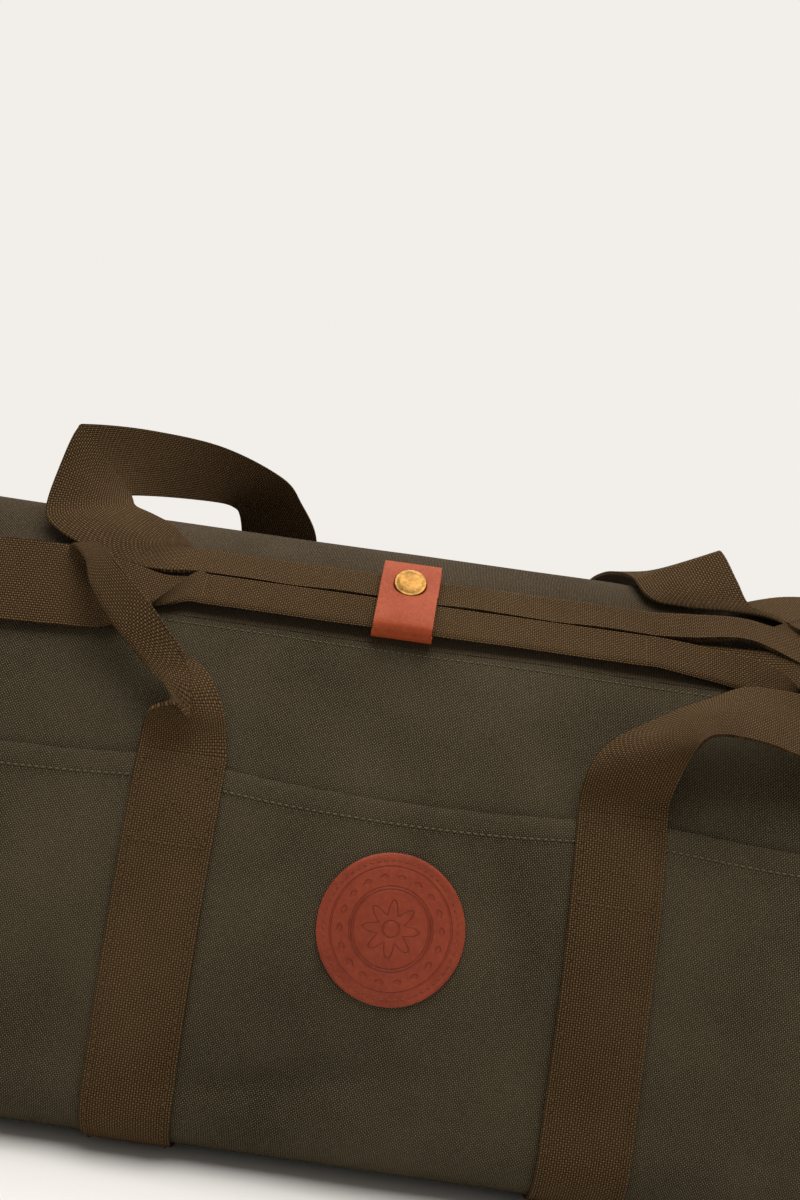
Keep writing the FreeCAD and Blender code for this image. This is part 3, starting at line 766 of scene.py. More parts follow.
def coil_material():
    material, tree, shader = new_material("nylon_coil", 0.35)
    tint = noise(tree, coordinates(tree, "Object"), 700, 2)
    colour = blend_colours(tree, tint, (0.020, 0.016, 0.011), (0.042, 0.034, 0.024))
    tree.links.new(colour, shader.inputs["Base Color"])
    bump(tree, shader, tint, 0.00005)
    return material


COIL = coil_material()


def zip_side(word, side, end_word, end):
    def place(x, off):
        dip = 0.0006 * fade(off, 0.004, TAPE_WIDTH)
        return Vector((x, side * (0.0015 + off), TAPE_HEIGHT - 0.0002 - dip))

    span = (0.0, ZIP_REACH) if end > 0 else (-ZIP_REACH, 0.0)
    tape = laid_sheet(
        f"tape_{word}_{end_word}", span, (0.0, TAPE_WIDTH), (60, 4), place, TAPE, 0.0008,
        seen_from=(0, 0, 1),
    )
    bm = bmesh.new()
    shift = TURN_PITCH / 2 if side == BACK else 0.0
    for number in range(TURNS):
        x = end * (0.0004 + shift + number * TURN_PITCH)
        spot = Vector((x, side * 0.0011, TAPE_HEIGHT + 0.0001))
        block = Matrix.Translation(spot) @ Matrix.Diagonal((0.0009, 0.0026, 0.0015, 1))
        bmesh.ops.create_cube(bm, size=1.0, matrix=block)
    bmesh.ops.bevel(
        bm, geom=bm.edges[:], offset=0.00025, offset_type="OFFSET", segments=1, profile=0.5, affect="EDGES",
        material=-1,
    )
    coil = piece_from(bm, f"coil_{word}_{end_word}", COIL)
    if end > 0:
        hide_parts(f"zip_tape_{word}")
        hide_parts(f"zip_coil_{word}")
    if side == FRONT:
        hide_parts(f"zip_end_tape_{end_word}")
        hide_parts(f"zip_end_coil_{end_word}")
    bend_top(tape, word, end)
    bend_top(coil, word, end)


for end_word, end in (("left", -1), ("right", 1)):
    for word, side in (("front", FRONT), ("back", BACK)):
        zip_side(word, side, end_word, end)
print("turns a side", 2 * TURNS)

# %% [markdown]
# ### Small metal parts
# The slider and its pull keep their measured shapes, which already run between the coils, and
# so do the two hidden halves of the snap. They only get their metal, softened edges, and
# leather on the pull's tab.

# %% Small metal parts


def soften(node, width, finish):
    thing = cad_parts[node]
    for holder in thing.material_slots:
        holder.material = finish
    weld = thing.modifiers.new("weld", "WELD")
    weld.merge_threshold = 0.00001
    edges = thing.modifiers.new("soft_edges", "BEVEL")
    edges.width = width
    edges.segments = 2
    edges.limit_method = "ANGLE"


for node, width, finish in (
    ("zip_slider", 0.0004, BRASS),
    ("zip_pull", 0.0003, BRASS),
    ("pull_tab", 0.0006, LEATHER),
    ("snap_stud", 0.0003, BRASS),
    ("snap_socket", 0.0003, BRASS),
):
    soften(node, width, finish)

# %% [markdown]
# ## Stitches
# Thread sits on heavy canvas as a row of short beads, each sunk at its ends. A bead is a
# squashed ball with few faces, turned along the seam and raised on the cloth, so hundreds of
# them stay light and still catch the light one by one.

# %% Stitches
THREAD_RADIUS = 0.00042
FINE_THREAD = 0.00034
SEAM_PITCH = 0.0030


def stitch_row(name, places, length, material, radius=THREAD_RADIUS):
    """places holds (point, direction along the seam, outward direction) for each stitch."""
    bm = bmesh.new()
    for point, heading, out in places:
        along = heading.normalized()
        up = (out - along * out.dot(along)).normalized()
        side = up.cross(along)
        turn = Matrix((along, side, up)).transposed().to_4x4()
        spot = Matrix.Translation(point + up * radius * 0.35) @ turn
        scale = Matrix.Diagonal((length / 2, radius, radius * 0.9, 1))
        bmesh.ops.create_uvsphere(bm, u_segments=6, v_segments=4, radius=1.0, matrix=spot @ scale)
    piece = piece_from(bm, name, material)
    for face in piece.data.polygons:
        face.use_smooth = True
    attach(piece, "bag")


def skin_row(side, along_of, start, end):
    """Stitches that run along the bag at the distance along_of(x) up the cloth."""
    count = int((end - start) / SEAM_PITCH)
    for number in range(count):
        x = start + (number + 0.5) * SEAM_PITCH
        here = skin(side, x, along_of(x))
        there = skin(side, x + 0.001, along_of(x + 0.001))
        yield here, there - here, skin_out(side, along_of(x))


for word, side in (("front", FRONT), ("back", BACK)):
    seam = WALL_TOP[side] - 0.0035
    row = skin_row(side, lambda x, seam=seam: seam, -END + 0.008, END - 0.008)
    stitch_row(f"seam_stitches_{word}", row, 0.0022, THREAD)

# %% [markdown]
# ## The slip pocket
# One strip of canvas covers the whole front below the seam. Its upper edge is turned in twice
# and stitched, which makes a firm hem, and it droops a little between the two bands that
# divide it into three. It is laid a cloth's thickness outside the front, and stands away from
# it slightly along the top, as an open pocket does.

# %% Pocket


def span_x(node):
    """The middle and the half width of a measured part along the bag."""
    low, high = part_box(node)
    return (low[0] + high[0]) / 2, (high[0] - low[0]) / 2


POCKET_TOP = wall_distance(FRONT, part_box("front_pocket")[1][2] - 0.0006)
BAND_X, HALF_BAND = span_x("band_right")
HEM, HEM_SEAM = 0.0105, 0.0018


def pocket_edge(x):
    """Distance up the cloth of the pocket's upper edge: it dips between the bands."""
    if abs(x) < BAND_X:
        return POCKET_TOP + 0.001 - 0.0065 * math.cos(x / BAND_X * math.pi / 2) ** 0.8
    return POCKET_TOP + 0.001 - 0.004 * math.sin((abs(x) - BAND_X) / (END - BAND_X) * math.pi)


def pocket_stand(x, below_edge):
    """How far the pocket stands off the front: most at the hem between the bands."""
    belly = abs(math.cos(x / BAND_X * math.pi / 2)) if abs(x) < BAND_X else 0.7
    return 0.0014 + 0.0016 * belly * (1 - fade(below_edge, 0.0, 0.05))


def pocket_sheet():
    def place(x, share):
        along = share * pocket_edge(x)
        return skin(FRONT, x, along, pocket_stand(x, pocket_edge(x) - along))

    piece = laid_sheet(
        "pocket_canvas", (-END, END), (0, 1), (190, 70), place, CANVAS, 0.0012,
        seen_from=(0, -1, 0),
    )
    scale_weave(piece, 1, POCKET_TOP)
    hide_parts("front_pocket")
    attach(piece, "bag")

    def hem_place(x, share):
        along = pocket_edge(x) + 0.0006 - HEM * (1 - share)
        round_off = 0.0008 * (1 - (2 * share - 1) ** 4)
        return skin(FRONT, x, along, pocket_stand(x, pocket_edge(x) - along) + round_off)

    hem = laid_sheet(
        "pocket_hem", (-END, END), (0, 1), (190, 6), hem_place, CANVAS, 0.0016,
        seen_from=(0, -1, 0),
    )
    scale_weave(hem, 1, HEM)
    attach(hem, "bag")


def hem_stitches():
    def line(x):
        return pocket_edge(x) - HEM + HEM_SEAM

    places = []
    for here, heading, out in skin_row(FRONT, line, -END + 0.006, END - 0.006):
        if abs(abs(here.x) - BAND_X) > 0.018:
            stand = pocket_stand(here.x, HEM - HEM_SEAM) + 0.0004
            places.append((here + out * stand, heading, out))
    stitch_row("hem_stitches", places, 0.0023, THREAD)
    print("hem stitches", len(places))


pocket_sheet()
hem_stitches()

# %% [markdown]
# ## The bands
# Each band of webbing starts at the hem, runs down the front, under the base and up the
# back, and carries the whole load. It is one long grid led round the section, sewn down with
# a row of thread along both edges and, at its front end, a box with a cross in it.

# %% Bands
WEB = 0.0017
BAND_TOP = {side: wall_distance(side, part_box("band_right")[1][2] - 0.001) for side in (FRONT, BACK)}
BAND_LIFT = {FRONT: 0.0042, BACK: WEB}
BAND_TOTAL = BAND_TOP[FRONT] + BAND_TOP[BACK] + 2 * BASE_HALF
FIRST_STITCH = 0.004
EDGE_PITCH = 0.0034
BOX_PITCH, BOX_MIDDLE, BOX_FOOT = 0.0031, 0.021, 0.038


def band_point(x, travel, height=0.0):
    """travel runs from the front top (0) round under the base to the back top."""
    front, under = BAND_TOP[FRONT], 2 * BASE_HALF
    if travel < front:
        along = front - travel
        risen = fade(along, -0.002, 0.05)
        lift = BAND_LIFT[FRONT] * risen + 0.0033 * (1 - risen)
        return skin(FRONT, x, along, lift + height)
    if travel < front + under:
        return Vector((x, -BASE_HALF + travel - front, -height))
    along = travel - front - under
    return skin(BACK, x, along, BAND_LIFT[BACK] + height)


def edge_stitches(centre):
    """Rows along both edges of a band, in front and behind; under the base there are none."""
    rows = (
        (FIRST_STITCH, BAND_TOP[FRONT] - FIRST_STITCH),
        (BAND_TOTAL - BAND_TOP[BACK], BAND_TOP[BACK] - FIRST_STITCH),
    )
    for edge in (-1, 1):
        x = centre + edge * (HALF_BAND - 0.0028)
        for start, length in rows:
            for number in range(int(length / EDGE_PITCH)):
                travel = start + (number + 0.5) * EDGE_PITCH
                here, there = band_point(x, travel), band_point(x, travel + 0.001)
                out = (there - here).cross(Vector((1, 0, 0))).normalized()
                if abs(out.y) < 0.3:  # near the base it points inward, so these stitches sink in
                    out = -out
                yield here + out * 0.0001, there - here, out


def box_stitches(centre):
    """The box's upper and lower side and its two diagonals."""
    for number in range(11):
        step = (number - 5) * BOX_PITCH
        for travel in (FIRST_STITCH, BOX_FOOT):
            here = band_point(centre + step, travel)
            yield here, Vector((1, 0, 0)), skin_out(FRONT, BAND_TOP[FRONT] - travel)
        for lean in (-1, 1):
            here = band_point(centre + step * lean, BOX_MIDDLE + step)
            there = band_point(centre + (step + 0.001) * lean, BOX_MIDDLE + 0.001 + step)
            yield here, there - here, skin_out(FRONT, BAND_TOP[FRONT] - BOX_MIDDLE)


def band(word, end):
    centre = end * BAND_X

    def place(across, travel):
        edge = 0.0004 * (1 - (across / HALF_BAND) ** 6)
        return band_point(centre + across, travel, edge - 0.0004)

    piece = laid_sheet(
        f"webbing_band_{word}", (HALF_BAND, -HALF_BAND), (0, BAND_TOTAL), (14, 220), place, WEBBING,
        WEB,
    )
    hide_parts(f"band_{word}")
    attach(piece, "bag")
    places = [*edge_stitches(centre), *box_stitches(centre)]
    stitch_row(f"band_stitches_{word}", places, 0.0024, THREAD_BROWN, FINE_THREAD)
    print(piece.name, "length", round(BAND_TOTAL, 3), "m with", len(places), "stitches")


for word, end in (("left", -1), ("right", 1)):
    band(word, end)

# %% [markdown]
# ## The carry handles
# A handle is one length of the same webbing. Along the grip it is folded in half lengthwise
# and sewn, so it is narrow and thick in the hand; beyond the grip it opens again to its full
# width, twists, and comes down to its band. A strap is led by three rails: its two edges and
# its middle line. When it lies flat the middle is halfway; where it is folded the edges come
# together and the middle becomes the fold. A smooth curve runs through the stations of each
# rail, and stations set close together make a crisp fold.

# %% Straps
STRAP_HALF = 0.019
FOLD_SHARE = 0.16


def spline(values, t):
    """Catmull-Rom through a list of vectors at t from 0 to len - 1."""
    first = min(int(t), len(values) - 2)
    u = t - first
    before = values[max(first - 1, 0)]
    start, end = values[first], values[first + 1]
    after = values[min(first + 2, len(values) - 1)]
    return 0.5 * (
        2 * start + (end - before) * u + (2 * before - 5 * start + 4 * end - after) * u * u
        + (3 * start - before - 3 * end + after) * u ** 3
    )


def flat(first_edge, second_edge, bow=0.0):
    """A flat station from its two edges in millimetres, its middle bowed upwards by bow."""
    first, second = Vector(first_edge) / 1000, Vector(second_edge) / 1000
    return first, (first + second) / 2 + Vector((0, -0.5, 0.8)) * bow / 1000, second


def folded(first_edge, middle, second_edge):
    return tuple(Vector(place) / 1000 for place in (first_edge, middle, second_edge))


def strap(name, stations, body=None, rise=None, replaced=(), half=STRAP_HALF, thick=WEB, rows=9):
    """Webbing led by stations of (edge, middle, edge): it rides on a body, or, given a rise, is
    left where it is laid; the two places of the rise are not used."""
    rails = [[Vector(station[k]) for station in stations] for k in range(3)]
    last = len(stations) - 1
    steps = last * rows
    course = [spline(rails[1], last * i / steps) for i in range(steps + 1)]
    run = [0.0]
    for before, after in zip(course, course[1:]):
        run.append(run[-1] + (after - before).length)

    def place(across, share):
        t = min(max(share * last, 0.0), float(last))
        first, middle, second = (spline(rail, t) for rail in rails)
        if abs(across) >= FOLD_SHARE:
            return middle.lerp(second if across > 0 else first, abs(across))
        before, after = middle.lerp(first, FOLD_SHARE), middle.lerp(second, FOLD_SHARE)
        u = (across + FOLD_SHARE) / (2 * FOLD_SHARE)
        return before * (1 - u) ** 2 + middle * 2 * u * (1 - u) + after * u * u

    piece = laid_sheet(name, (-1, 1), (0, 1), (20, steps), place, WEBBING, thick, 0.0, even=False)
    for item in piece.data.uv_layers[0].data:
        item.uv = (item.uv[0] * half, run[round(item.uv[1] * steps)])
    if replaced:
        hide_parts(*replaced)
    if rise:
        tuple(rise[0])
        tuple(rise[1])
        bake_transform(piece)
    else:
        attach(piece, body)
    print(name, "length", round(run[-1], 3), "m")


# %% [markdown]
# ### Grips
# The grips lie side by side on the front shoulder. Their places are worked out in the
# shoulder's own directions: up the slope, and out of it. Each is folded with its fold line on
# the outside of the pair, so the four edges meet in the split between them.

# %% Grips
UP_SLOPE = Vector((0, math.cos(SLOPE), math.sin(SLOPE)))
OUT_SLOPE = Vector((0, -math.sin(SLOPE), math.cos(SLOPE)))
SLOPE_MIDDLE = Vector((0, -SEAM_HALF, SEAM_HEIGHT)) + UP_SLOPE * SHOULDER / 2
GRIP_EDGE = 0.0186
GRIP_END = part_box("grip_front")[1][0]


def slope_point(x, up, out):
    return Vector((x, 0, 0)) + SLOPE_MIDDLE + UP_SLOPE * up + OUT_SLOPE * out


def grip_station(x, side, wave=0.0):
    """The folded webbing of one grip: lower layer's edge, fold line, upper layer's edge."""
    low, high = 0.0033, 0.0057 + wave
    return (
        slope_point(x, side * 0.0008, low),
        slope_point(x, side * GRIP_EDGE, (low + high) / 2),
        slope_point(x, side * (0.0006 + wave), high),
    )


def grip(name, side, replaced):
    stations = []
    for i in range(11):
        wave = 0.0003 * math.sin(i * 2.1 + side) if 0 < i < 10 else 0.0
        stations.append(grip_station(-GRIP_END + 2 * GRIP_END * i / 10, side, wave))
    strap(name, stations, body="handles", replaced=[replaced])


grip("grip_webbing_front", -1, "grip_front")
grip("grip_webbing_back", 1, "grip_back")

# %% [markdown]
# ### Legs
# Each leg keeps its own lie. The front left one doubles over, crosses in front of its own
# loop and tucks over its upper edge; the front right one rolls forward over its band; the
# back left one stands up above the top and turns sharply back on itself; the back right one
# only shows its bend. Their stations are placed one by one, as a stylist places a strap.

# %% Legs
FRONT_RISE = ((0, -0.105, 0.171), (0, -0.085, 0.224))
BACK_RISE = ((0, 0.105, 0.205), (0, -0.040, 0.262))


def band_end(side, end, turned=False):
    """The station where a leg goes on from the end of its band."""
    travel = 0.0 if side == FRONT else BAND_TOTAL
    out = skin_out(side, BAND_TOP[side])
    rails = [band_point(end * BAND_X + k * HALF_BAND, travel, -0.0004) - out * WEB / 2 for k in (-1, 0, 1)]
    return tuple(reversed(rails)) if turned else tuple(rails)


strap(
    "leg_webbing_front_left",
    [
        band_end(FRONT, -1),
        folded((-114.0, -107.5, 176.5), (-95.5, -107.5, 177.0), (-78.5, -105.0, 180.5)),
        folded((-111.0, -111.0, 187.0), (-100.0, -110.5, 188.0), (-80.5, -103.0, 187.0)),
        folded((-99.5, -116.5, 191.5), (-103.0, -112.0, 194.5), (-86.0, -99.5, 197.5)),
        folded((-93.0, -115.0, 187.0), (-108.0, -109.0, 200.0), (-92.5, -96.5, 205.0)),
        folded((-95.5, -109.0, 198.5), (-113.0, -107.5, 202.0), (-97.5, -95.5, 208.0)),
        folded((-99.2, -104.5, 207.0), (-119.0, -106.0, 206.5), (-101.0, -96.0, 209.5)),
        folded((-123.0, -99.0, 233.5), (-134.0, -102.0, 219.0), (-122.0, -94.0, 232.0)),
        folded((-140.5, -88.0, 246.7), (-147.5, -94.0, 234.0), (-139.0, -84.0, 245.0)),
        folded((-149.0, -77.0, 252.0), (-153.5, -84.5, 244.5), (-147.0, -74.5, 250.5)),
        folded((-158.0, -67.0, 251.5), (-165.0, -70.0, 249.5), (-150.0, -67.5, 247.5)),
        flat((-170.0, -61.5, 248.5), (-162.0, -76.0, 217.0)),
        flat((-205.0, -62.0, 247.0), (-203.0, -83.0, 215.0)),
        flat((-236.0, -62.0, 246.0), (-236.0, -84.0, 215.0)),
        flat((-252.0, -76.0, 247.0), (-252.0, -93.0, 214.0)),
        flat((-236.0, -85.0, 248.0), (-236.0, -100.0, 213.5)),
        flat((-205.0, -74.0, 248.5), (-203.0, -91.0, 213.5)),
        flat((-166.0, -66.0, 249.5), (-164.0, -87.0, 214.5)),
        folded((-141.0, -61.0, 245.5), (-140.0, -74.0, 229.0), (-139.0, -83.0, 217.0)),
        folded((-122.0, -60.5, 241.5), (-121.0, -75.5, 228.5), (-121.0, -76.0, 232.0)),
        grip_station(-GRIP_END - 0.006, -1),
        grip_station(-GRIP_END, -1),
    ],
    rise=FRONT_RISE,
    replaced=["leg_front_left"],
)
strap(
    "leg_webbing_front_right",
    [
        band_end(FRONT, 1),
        flat((76.0, -107.0, 176.0), (114.0, -108.0, 178.5)),
        flat((77.0, -108.5, 185.0), (114.5, -116.0, 189.0)),
        flat((80.5, -106.5, 193.0), (115.5, -123.0, 197.5), 1.0),
        flat((88.0, -102.0, 200.5), (116.5, -127.0, 202.5), 2.0),
        flat((99.0, -98.0, 207.0), (118.0, -129.5, 206.0), 3.0),
        flat((115.0, -94.0, 216.0), (119.5, -129.5, 208.5), 4.0),
        flat((129.5, -91.5, 223.0), (124.0, -126.5, 211.0), 3.0),
        flat((143.5, -90.0, 229.5), (133.0, -121.5, 211.5), 1.0),
        flat((157.0, -90.0, 230.5), (150.0, -116.0, 209.5)),
        flat((180.0, -88.0, 229.5), (178.0, -109.0, 203.0)),
        flat((212.0, -84.0, 231.0), (214.0, -102.0, 201.0)),
        flat((244.0, -80.0, 239.0), (248.0, -95.0, 207.0)),
        flat((262.0, -68.0, 250.0), (264.0, -82.0, 218.0)),
        flat((248.0, -58.0, 254.0), (250.0, -76.0, 224.0)),
        flat((216.0, -56.5, 251.0), (217.0, -76.5, 222.0)),
        flat((185.0, -58.5, 247.5), (186.0, -77.0, 223.0)),
        folded((160.0, -59.0, 245.0), (160.0, -74.5, 226.0), (160.0, -69.0, 239.0)),
        folded((130.0, -58.5, 243.5), (130.0, -74.2, 229.0), (130.0, -63.5, 243.0)),
        grip_station(GRIP_END + 0.006, -1),
        grip_station(GRIP_END, -1),
    ],
    rise=FRONT_RISE,
    replaced=["leg_front_right"],
)
strap(
    "leg_webbing_back_left",
    [
        band_end(BACK, -1, True),
        flat((-75.5, 106.0, 182.0), (-113.5, 106.0, 182.0)),
        flat((-71.0, 104.0, 215.0), (-110.0, 104.0, 215.0)),
        flat((-67.0, 95.0, 244.0), (-107.5, 93.0, 241.0)),
        flat((-66.5, 78.0, 267.0), (-108.5, 75.0, 264.0)),
        flat((-76.0, 66.0, 284.5), (-110.0, 66.0, 274.5)),
        flat((-87.0, 55.0, 297.0), (-112.0, 55.0, 278.0)),
        flat((-118.0, 37.0, 308.5), (-119.0, 41.0, 279.0)),
        flat((-151.0, 6.0, 310.5), (-140.0, 15.0, 278.0)),
        flat((-177.0, -18.5, 308.0), (-153.5, -6.0, 276.5)),
        flat((-181.5, -23.5, 304.5), (-154.0, -10.5, 275.5)),
        flat((-184.5, -33.0, 287.0), (-151.5, -17.0, 273.5)),
        flat((-186.5, -42.0, 266.0), (-147.0, -26.0, 270.5)),
        flat((-181.5, -47.5, 257.5), (-137.0, -32.5, 268.0), 1.0),
        flat((-166.0, -53.0, 250.5), (-125.0, -37.5, 264.0), 2.0),
        folded((-143.0, -57.5, 244.5), (-133.0, -50.0, 254.0), (-119.0, -41.0, 259.5)),
        folded((-127.0, -60.0, 243.5), (-121.0, -48.0, 255.0), (-114.0, -45.5, 256.5)),
        folded((-113.5, -60.6, 244.6), (-112.5, -46.5, 256.0), (-110.0, -52.0, 250.5)),
        tuple(reversed(grip_station(-GRIP_END - 0.004, 1))),
        tuple(reversed(grip_station(-GRIP_END, 1))),
    ],
    rise=BACK_RISE,
    replaced=["leg_back_left"],
)
strap(
    "leg_webbing_back_right",
    [
        band_end(BACK, 1),
        flat((76.0, 106.0, 182.0), (114.0, 106.0, 182.0)),
        flat((78.0, 104.0, 215.0), (116.0, 104.0, 215.0)),
        flat((83.0, 95.0, 241.0), (121.0, 95.0, 241.0)),
        flat((88.0, 70.0, 262.0), (126.0, 70.0, 262.0)),
        flat((93.0, 38.0, 270.0), (131.0, 38.0, 272.0)),
        flat((98.0, 6.0, 271.0), (137.0, 8.0, 280.0)),
        flat((99.0, -21.0, 269.5), (138.5, -17.0, 288.0)),
        flat((100.0, -28.0, 267.5), (141.0, -23.0, 286.5)),
        flat((104.0, -37.0, 262.5), (147.0, -31.0, 275.0)),
        flat((114.0, -39.0, 260.0), (153.5, -36.5, 264.5)),
        flat((138.0, -36.0, 261.5), (166.0, -41.0, 261.0)),
        flat((175.0, -16.0, 270.5), (178.0, -52.0, 256.0)),
        flat((212.0, -12.0, 272.5), (213.0, -48.0, 259.0)),
        flat((246.0, -18.0, 272.0), (247.0, -54.0, 259.0)),
        flat((261.0, -38.0, 266.0), (256.0, -60.0, 236.0)),
        flat((244.0, -49.0, 260.0), (242.0, -75.0, 236.0)),
        flat((214.0, -44.0, 260.0), (212.0, -70.0, 236.0)),
        folded((180.0, -41.5, 262.0), (180.0, -52.0, 252.0), (180.0, -65.0, 240.0)),
        folded((150.0, -52.0, 250.0), (150.0, -45.0, 258.5), (150.0, -60.0, 249.0)),
        folded((124.0, -58.0, 245.0), (124.0, -45.2, 257.5), (124.0, -60.5, 246.5)),
        grip_station(GRIP_END + 0.006, 1),
        grip_station(GRIP_END, 1),
    ],
    rise=BACK_RISE,
    replaced=["leg_back_right"],
)

# %% [markdown]
# ## The leather wrap
# A strip of leather goes under both grips, turns up over their far edge and ends on top; its
# other end folds over from the near edge as a flap, and a snap joins the two. Both are strips
# led along a rounded path in the shoulder's directions. Cut leather shows a paler edge, so
# the rim faces get their own finish.

# %% Leather wrap
WRAP_X, WRAP_HALF = span_x("leather_wrap")
WRAP_SKEW = 0.02
HIDE = 0.0017
WRAP_TOP = 0.0086
FLAP_TOP = WRAP_TOP + 0.0019


def leather_strip(name, path, body, replaced, half):
    """A strip led by (up the slope, out of it) places, a little askew as it is snapped."""
    places = [Vector((up, out, 0)) for up, out in path]

    def place(across, share):
        spot = spline(places, share * (len(places) - 1))
        return slope_point(WRAP_X + across * half + WRAP_SKEW * spot.x, spot.x, spot.y)

    length = sum((b - a).length for a, b in zip(places, places[1:]))
    piece = laid_sheet(
        name, (-1, 1), (0, 1), (14, 8 * (len(places) - 1)), place, [LEATHER, LEATHER_EDGE],
        HIDE, 0.0,
    )
    scale_weave(piece, half, length)
    for face in piece.data.polygons:
        if abs(face.normal.x) > 0.8:
            face.material_index = 1
    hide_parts(replaced)
    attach(piece, body)
    print(name, "length", round(length, 3), "m")


leather_strip(
    "wrap_leather",
    [
        (0.002, WRAP_TOP), (0.010, WRAP_TOP + 0.0002), (0.0175, WRAP_TOP), (0.0205, 0.0070),
        (0.0212, 0.0045), (0.0200, 0.0022), (0.0160, 0.0013), (0.0, 0.0012), (-0.0160, 0.0013),
        (-0.0200, 0.0022), (-0.0212, 0.0045), (-0.0210, 0.0062),
    ],
    "handles", "leather_wrap", WRAP_HALF + 0.0003,
)
leather_strip(
    "flap_leather",
    [
        (-0.0213, 0.0064), (-0.0208, 0.0086), (-0.0180, FLAP_TOP - 0.0001), (-0.0080, FLAP_TOP + 0.0004),
        (0.004, FLAP_TOP), (0.0140, FLAP_TOP), (0.0198, FLAP_TOP - 0.0004), (0.0216, FLAP_TOP - 0.0012),
    ],
    "wrap_flap", "leather_flap", WRAP_HALF - 0.0001,
)

# %% [markdown]
# ## The snap
# The cap of a spring snap is a low pressed brass dome with a shallow groove inside its rolled
# edge. Half of its profile, spun round its axis, makes it in one go.

# %% Snap
CAP_CENTRE = 0.006
CAP_RADIUS = 0.0078
CAP_LEAN = math.radians(10)


def snap_cap():
    profile = [
        (0.0, 0.00200), (0.0020, 0.00197), (0.0040, 0.00184), (0.0056, 0.00160), (0.0063, 0.00138),
        (0.0067, 0.00132), (0.0071, 0.00144), (0.0075, 0.00130), (CAP_RADIUS, 0.00050),
        (0.0076, -0.0001), (0.0068, -0.0006),
    ]
    bm = bmesh.new()
    points = [bm.verts.new((r, 0, height)) for r, height in profile]
    edges = [bm.edges.new(pair) for pair in zip(points, points[1:])]
    bmesh.ops.spin(
        bm, geom=points + edges, cent=(0, 0, 0), axis=(0, 0, 1), angle=2 * math.pi, steps=48, use_merge=True
    )
    bmesh.ops.remove_doubles(bm, verts=bm.verts, dist=0.00002)
    rim_edges = [edge for edge in bm.edges if edge.is_boundary]
    bmesh.ops.holes_fill(bm, edges=rim_edges, sides=0)
    bmesh.ops.recalc_face_normals(bm, faces=bm.faces)
    turn = Matrix((Vector((1, 0, 0)), UP_SLOPE, OUT_SLOPE)).transposed().to_4x4()
    turn = turn @ Matrix.Rotation(CAP_LEAN, 4, "X")
    spot = slope_point(WRAP_X + 0.0002, CAP_CENTRE, FLAP_TOP + HIDE / 2 + 0.0004)
    bmesh.ops.transform(bm, matrix=Matrix.Translation(spot) @ turn, verts=bm.verts)
    cap = piece_from(bm, "snap_dome", BRASS)
    for face in cap.data.polygons:
        face.use_smooth = True
    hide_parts("snap_cap")
    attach(cap, "wrap_flap")


snap_cap()

# %% [markdown]
# ## The patch
# The round patch is die-cut from thick leather, so its edge is a short, softly rounded wall.
# A square grid is drawn round into a disc, eased down at its edge and along its stitching, and
# given its thickness; the pressed pattern is in its finish. It follows the wall's curve, and
# sixty stitches hold it just inside the edge.

# %% Patch
PATCH_X, PATCH_RADIUS = span_x("leather_patch")
PATCH_ALONG = wall_distance(FRONT, 0.112)
PATCH_THICK = 0.0020
PATCH_STITCHES, STITCH_RING = 60, 0.0279


def patch_point(across, up, height):
    along = PATCH_ALONG + up
    stand = pocket_stand(PATCH_X + across, pocket_edge(PATCH_X + across) - along)
    return skin(FRONT, PATCH_X + across, along, stand + height)


def patch():
    bm = bmesh.new()
    bmesh.ops.create_grid(bm, x_segments=44, y_segments=44, size=1.0)
    layer = bm.loops.layers.uv.new("UVMap")
    for vertex in bm.verts:
        x, y = vertex.co.x, vertex.co.y
        vertex.co.x = x * math.sqrt(1 - y * y / 2) * PATCH_RADIUS
        vertex.co.y = y * math.sqrt(1 - x * x / 2) * PATCH_RADIUS
    for face in bm.faces:
        for loop in face.loops:
            loop[layer].uv = loop.vert.co.xy
    for vertex in bm.verts:
        edge = fade(vertex.co.xy.length, PATCH_RADIUS - 0.0012, PATCH_RADIUS + 0.0003)
        pinch = 0.00035 * math.exp(-(((vertex.co.xy.length - STITCH_RING) / 0.0009) ** 2))
        height = PATCH_THICK - 0.0009 * edge ** 2 - pinch
        vertex.co = patch_point(vertex.co.x, vertex.co.y, height)
    bm.normal_update()
    if sum(face.normal.y for face in bm.faces) > 0:
        bmesh.ops.reverse_faces(bm, faces=bm.faces)
    piece = piece_from(bm, "patch_leather", LEATHER_PATCH)
    thick = piece.modifiers.new("thickness", "SOLIDIFY")
    thick.thickness = PATCH_THICK
    thick.offset = -1
    settle(piece)
    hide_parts("leather_patch")
    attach(piece, "bag")


def ring_place(angle):
    across, up = STITCH_RING * math.cos(angle), STITCH_RING * math.sin(angle)
    return patch_point(across, up, PATCH_THICK - 0.0003)


def patch_stitches():
    places = []
    for number in range(PATCH_STITCHES):
        angle = 2 * math.pi * number / PATCH_STITCHES
        here, there = ring_place(angle), ring_place(angle + 0.02)
        places.append((here, there - here, skin_out(FRONT, PATCH_ALONG)))
    stitch_row("patch_stitches", places, 0.0021, THREAD_RUST, FINE_THREAD)
    print("patch", round(2 * PATCH_RADIUS, 4), "m across with", len(places), "stitches")


patch()
patch_stitches()

# %% [markdown]
# ## End handles
# Each end has a short grab loop of narrower webbing, which hangs from two sewn tabs. The loop
# is a strap bent through a round U, and a box of stitches holds each tab.

# %% End handles
GRAB_HALF = 0.0115
GRAB_BEND = 0.022
TAB_HALF, TAB_LENGTH = 0.0125, 0.032
TAB_BOX = (0.011, 0.028)


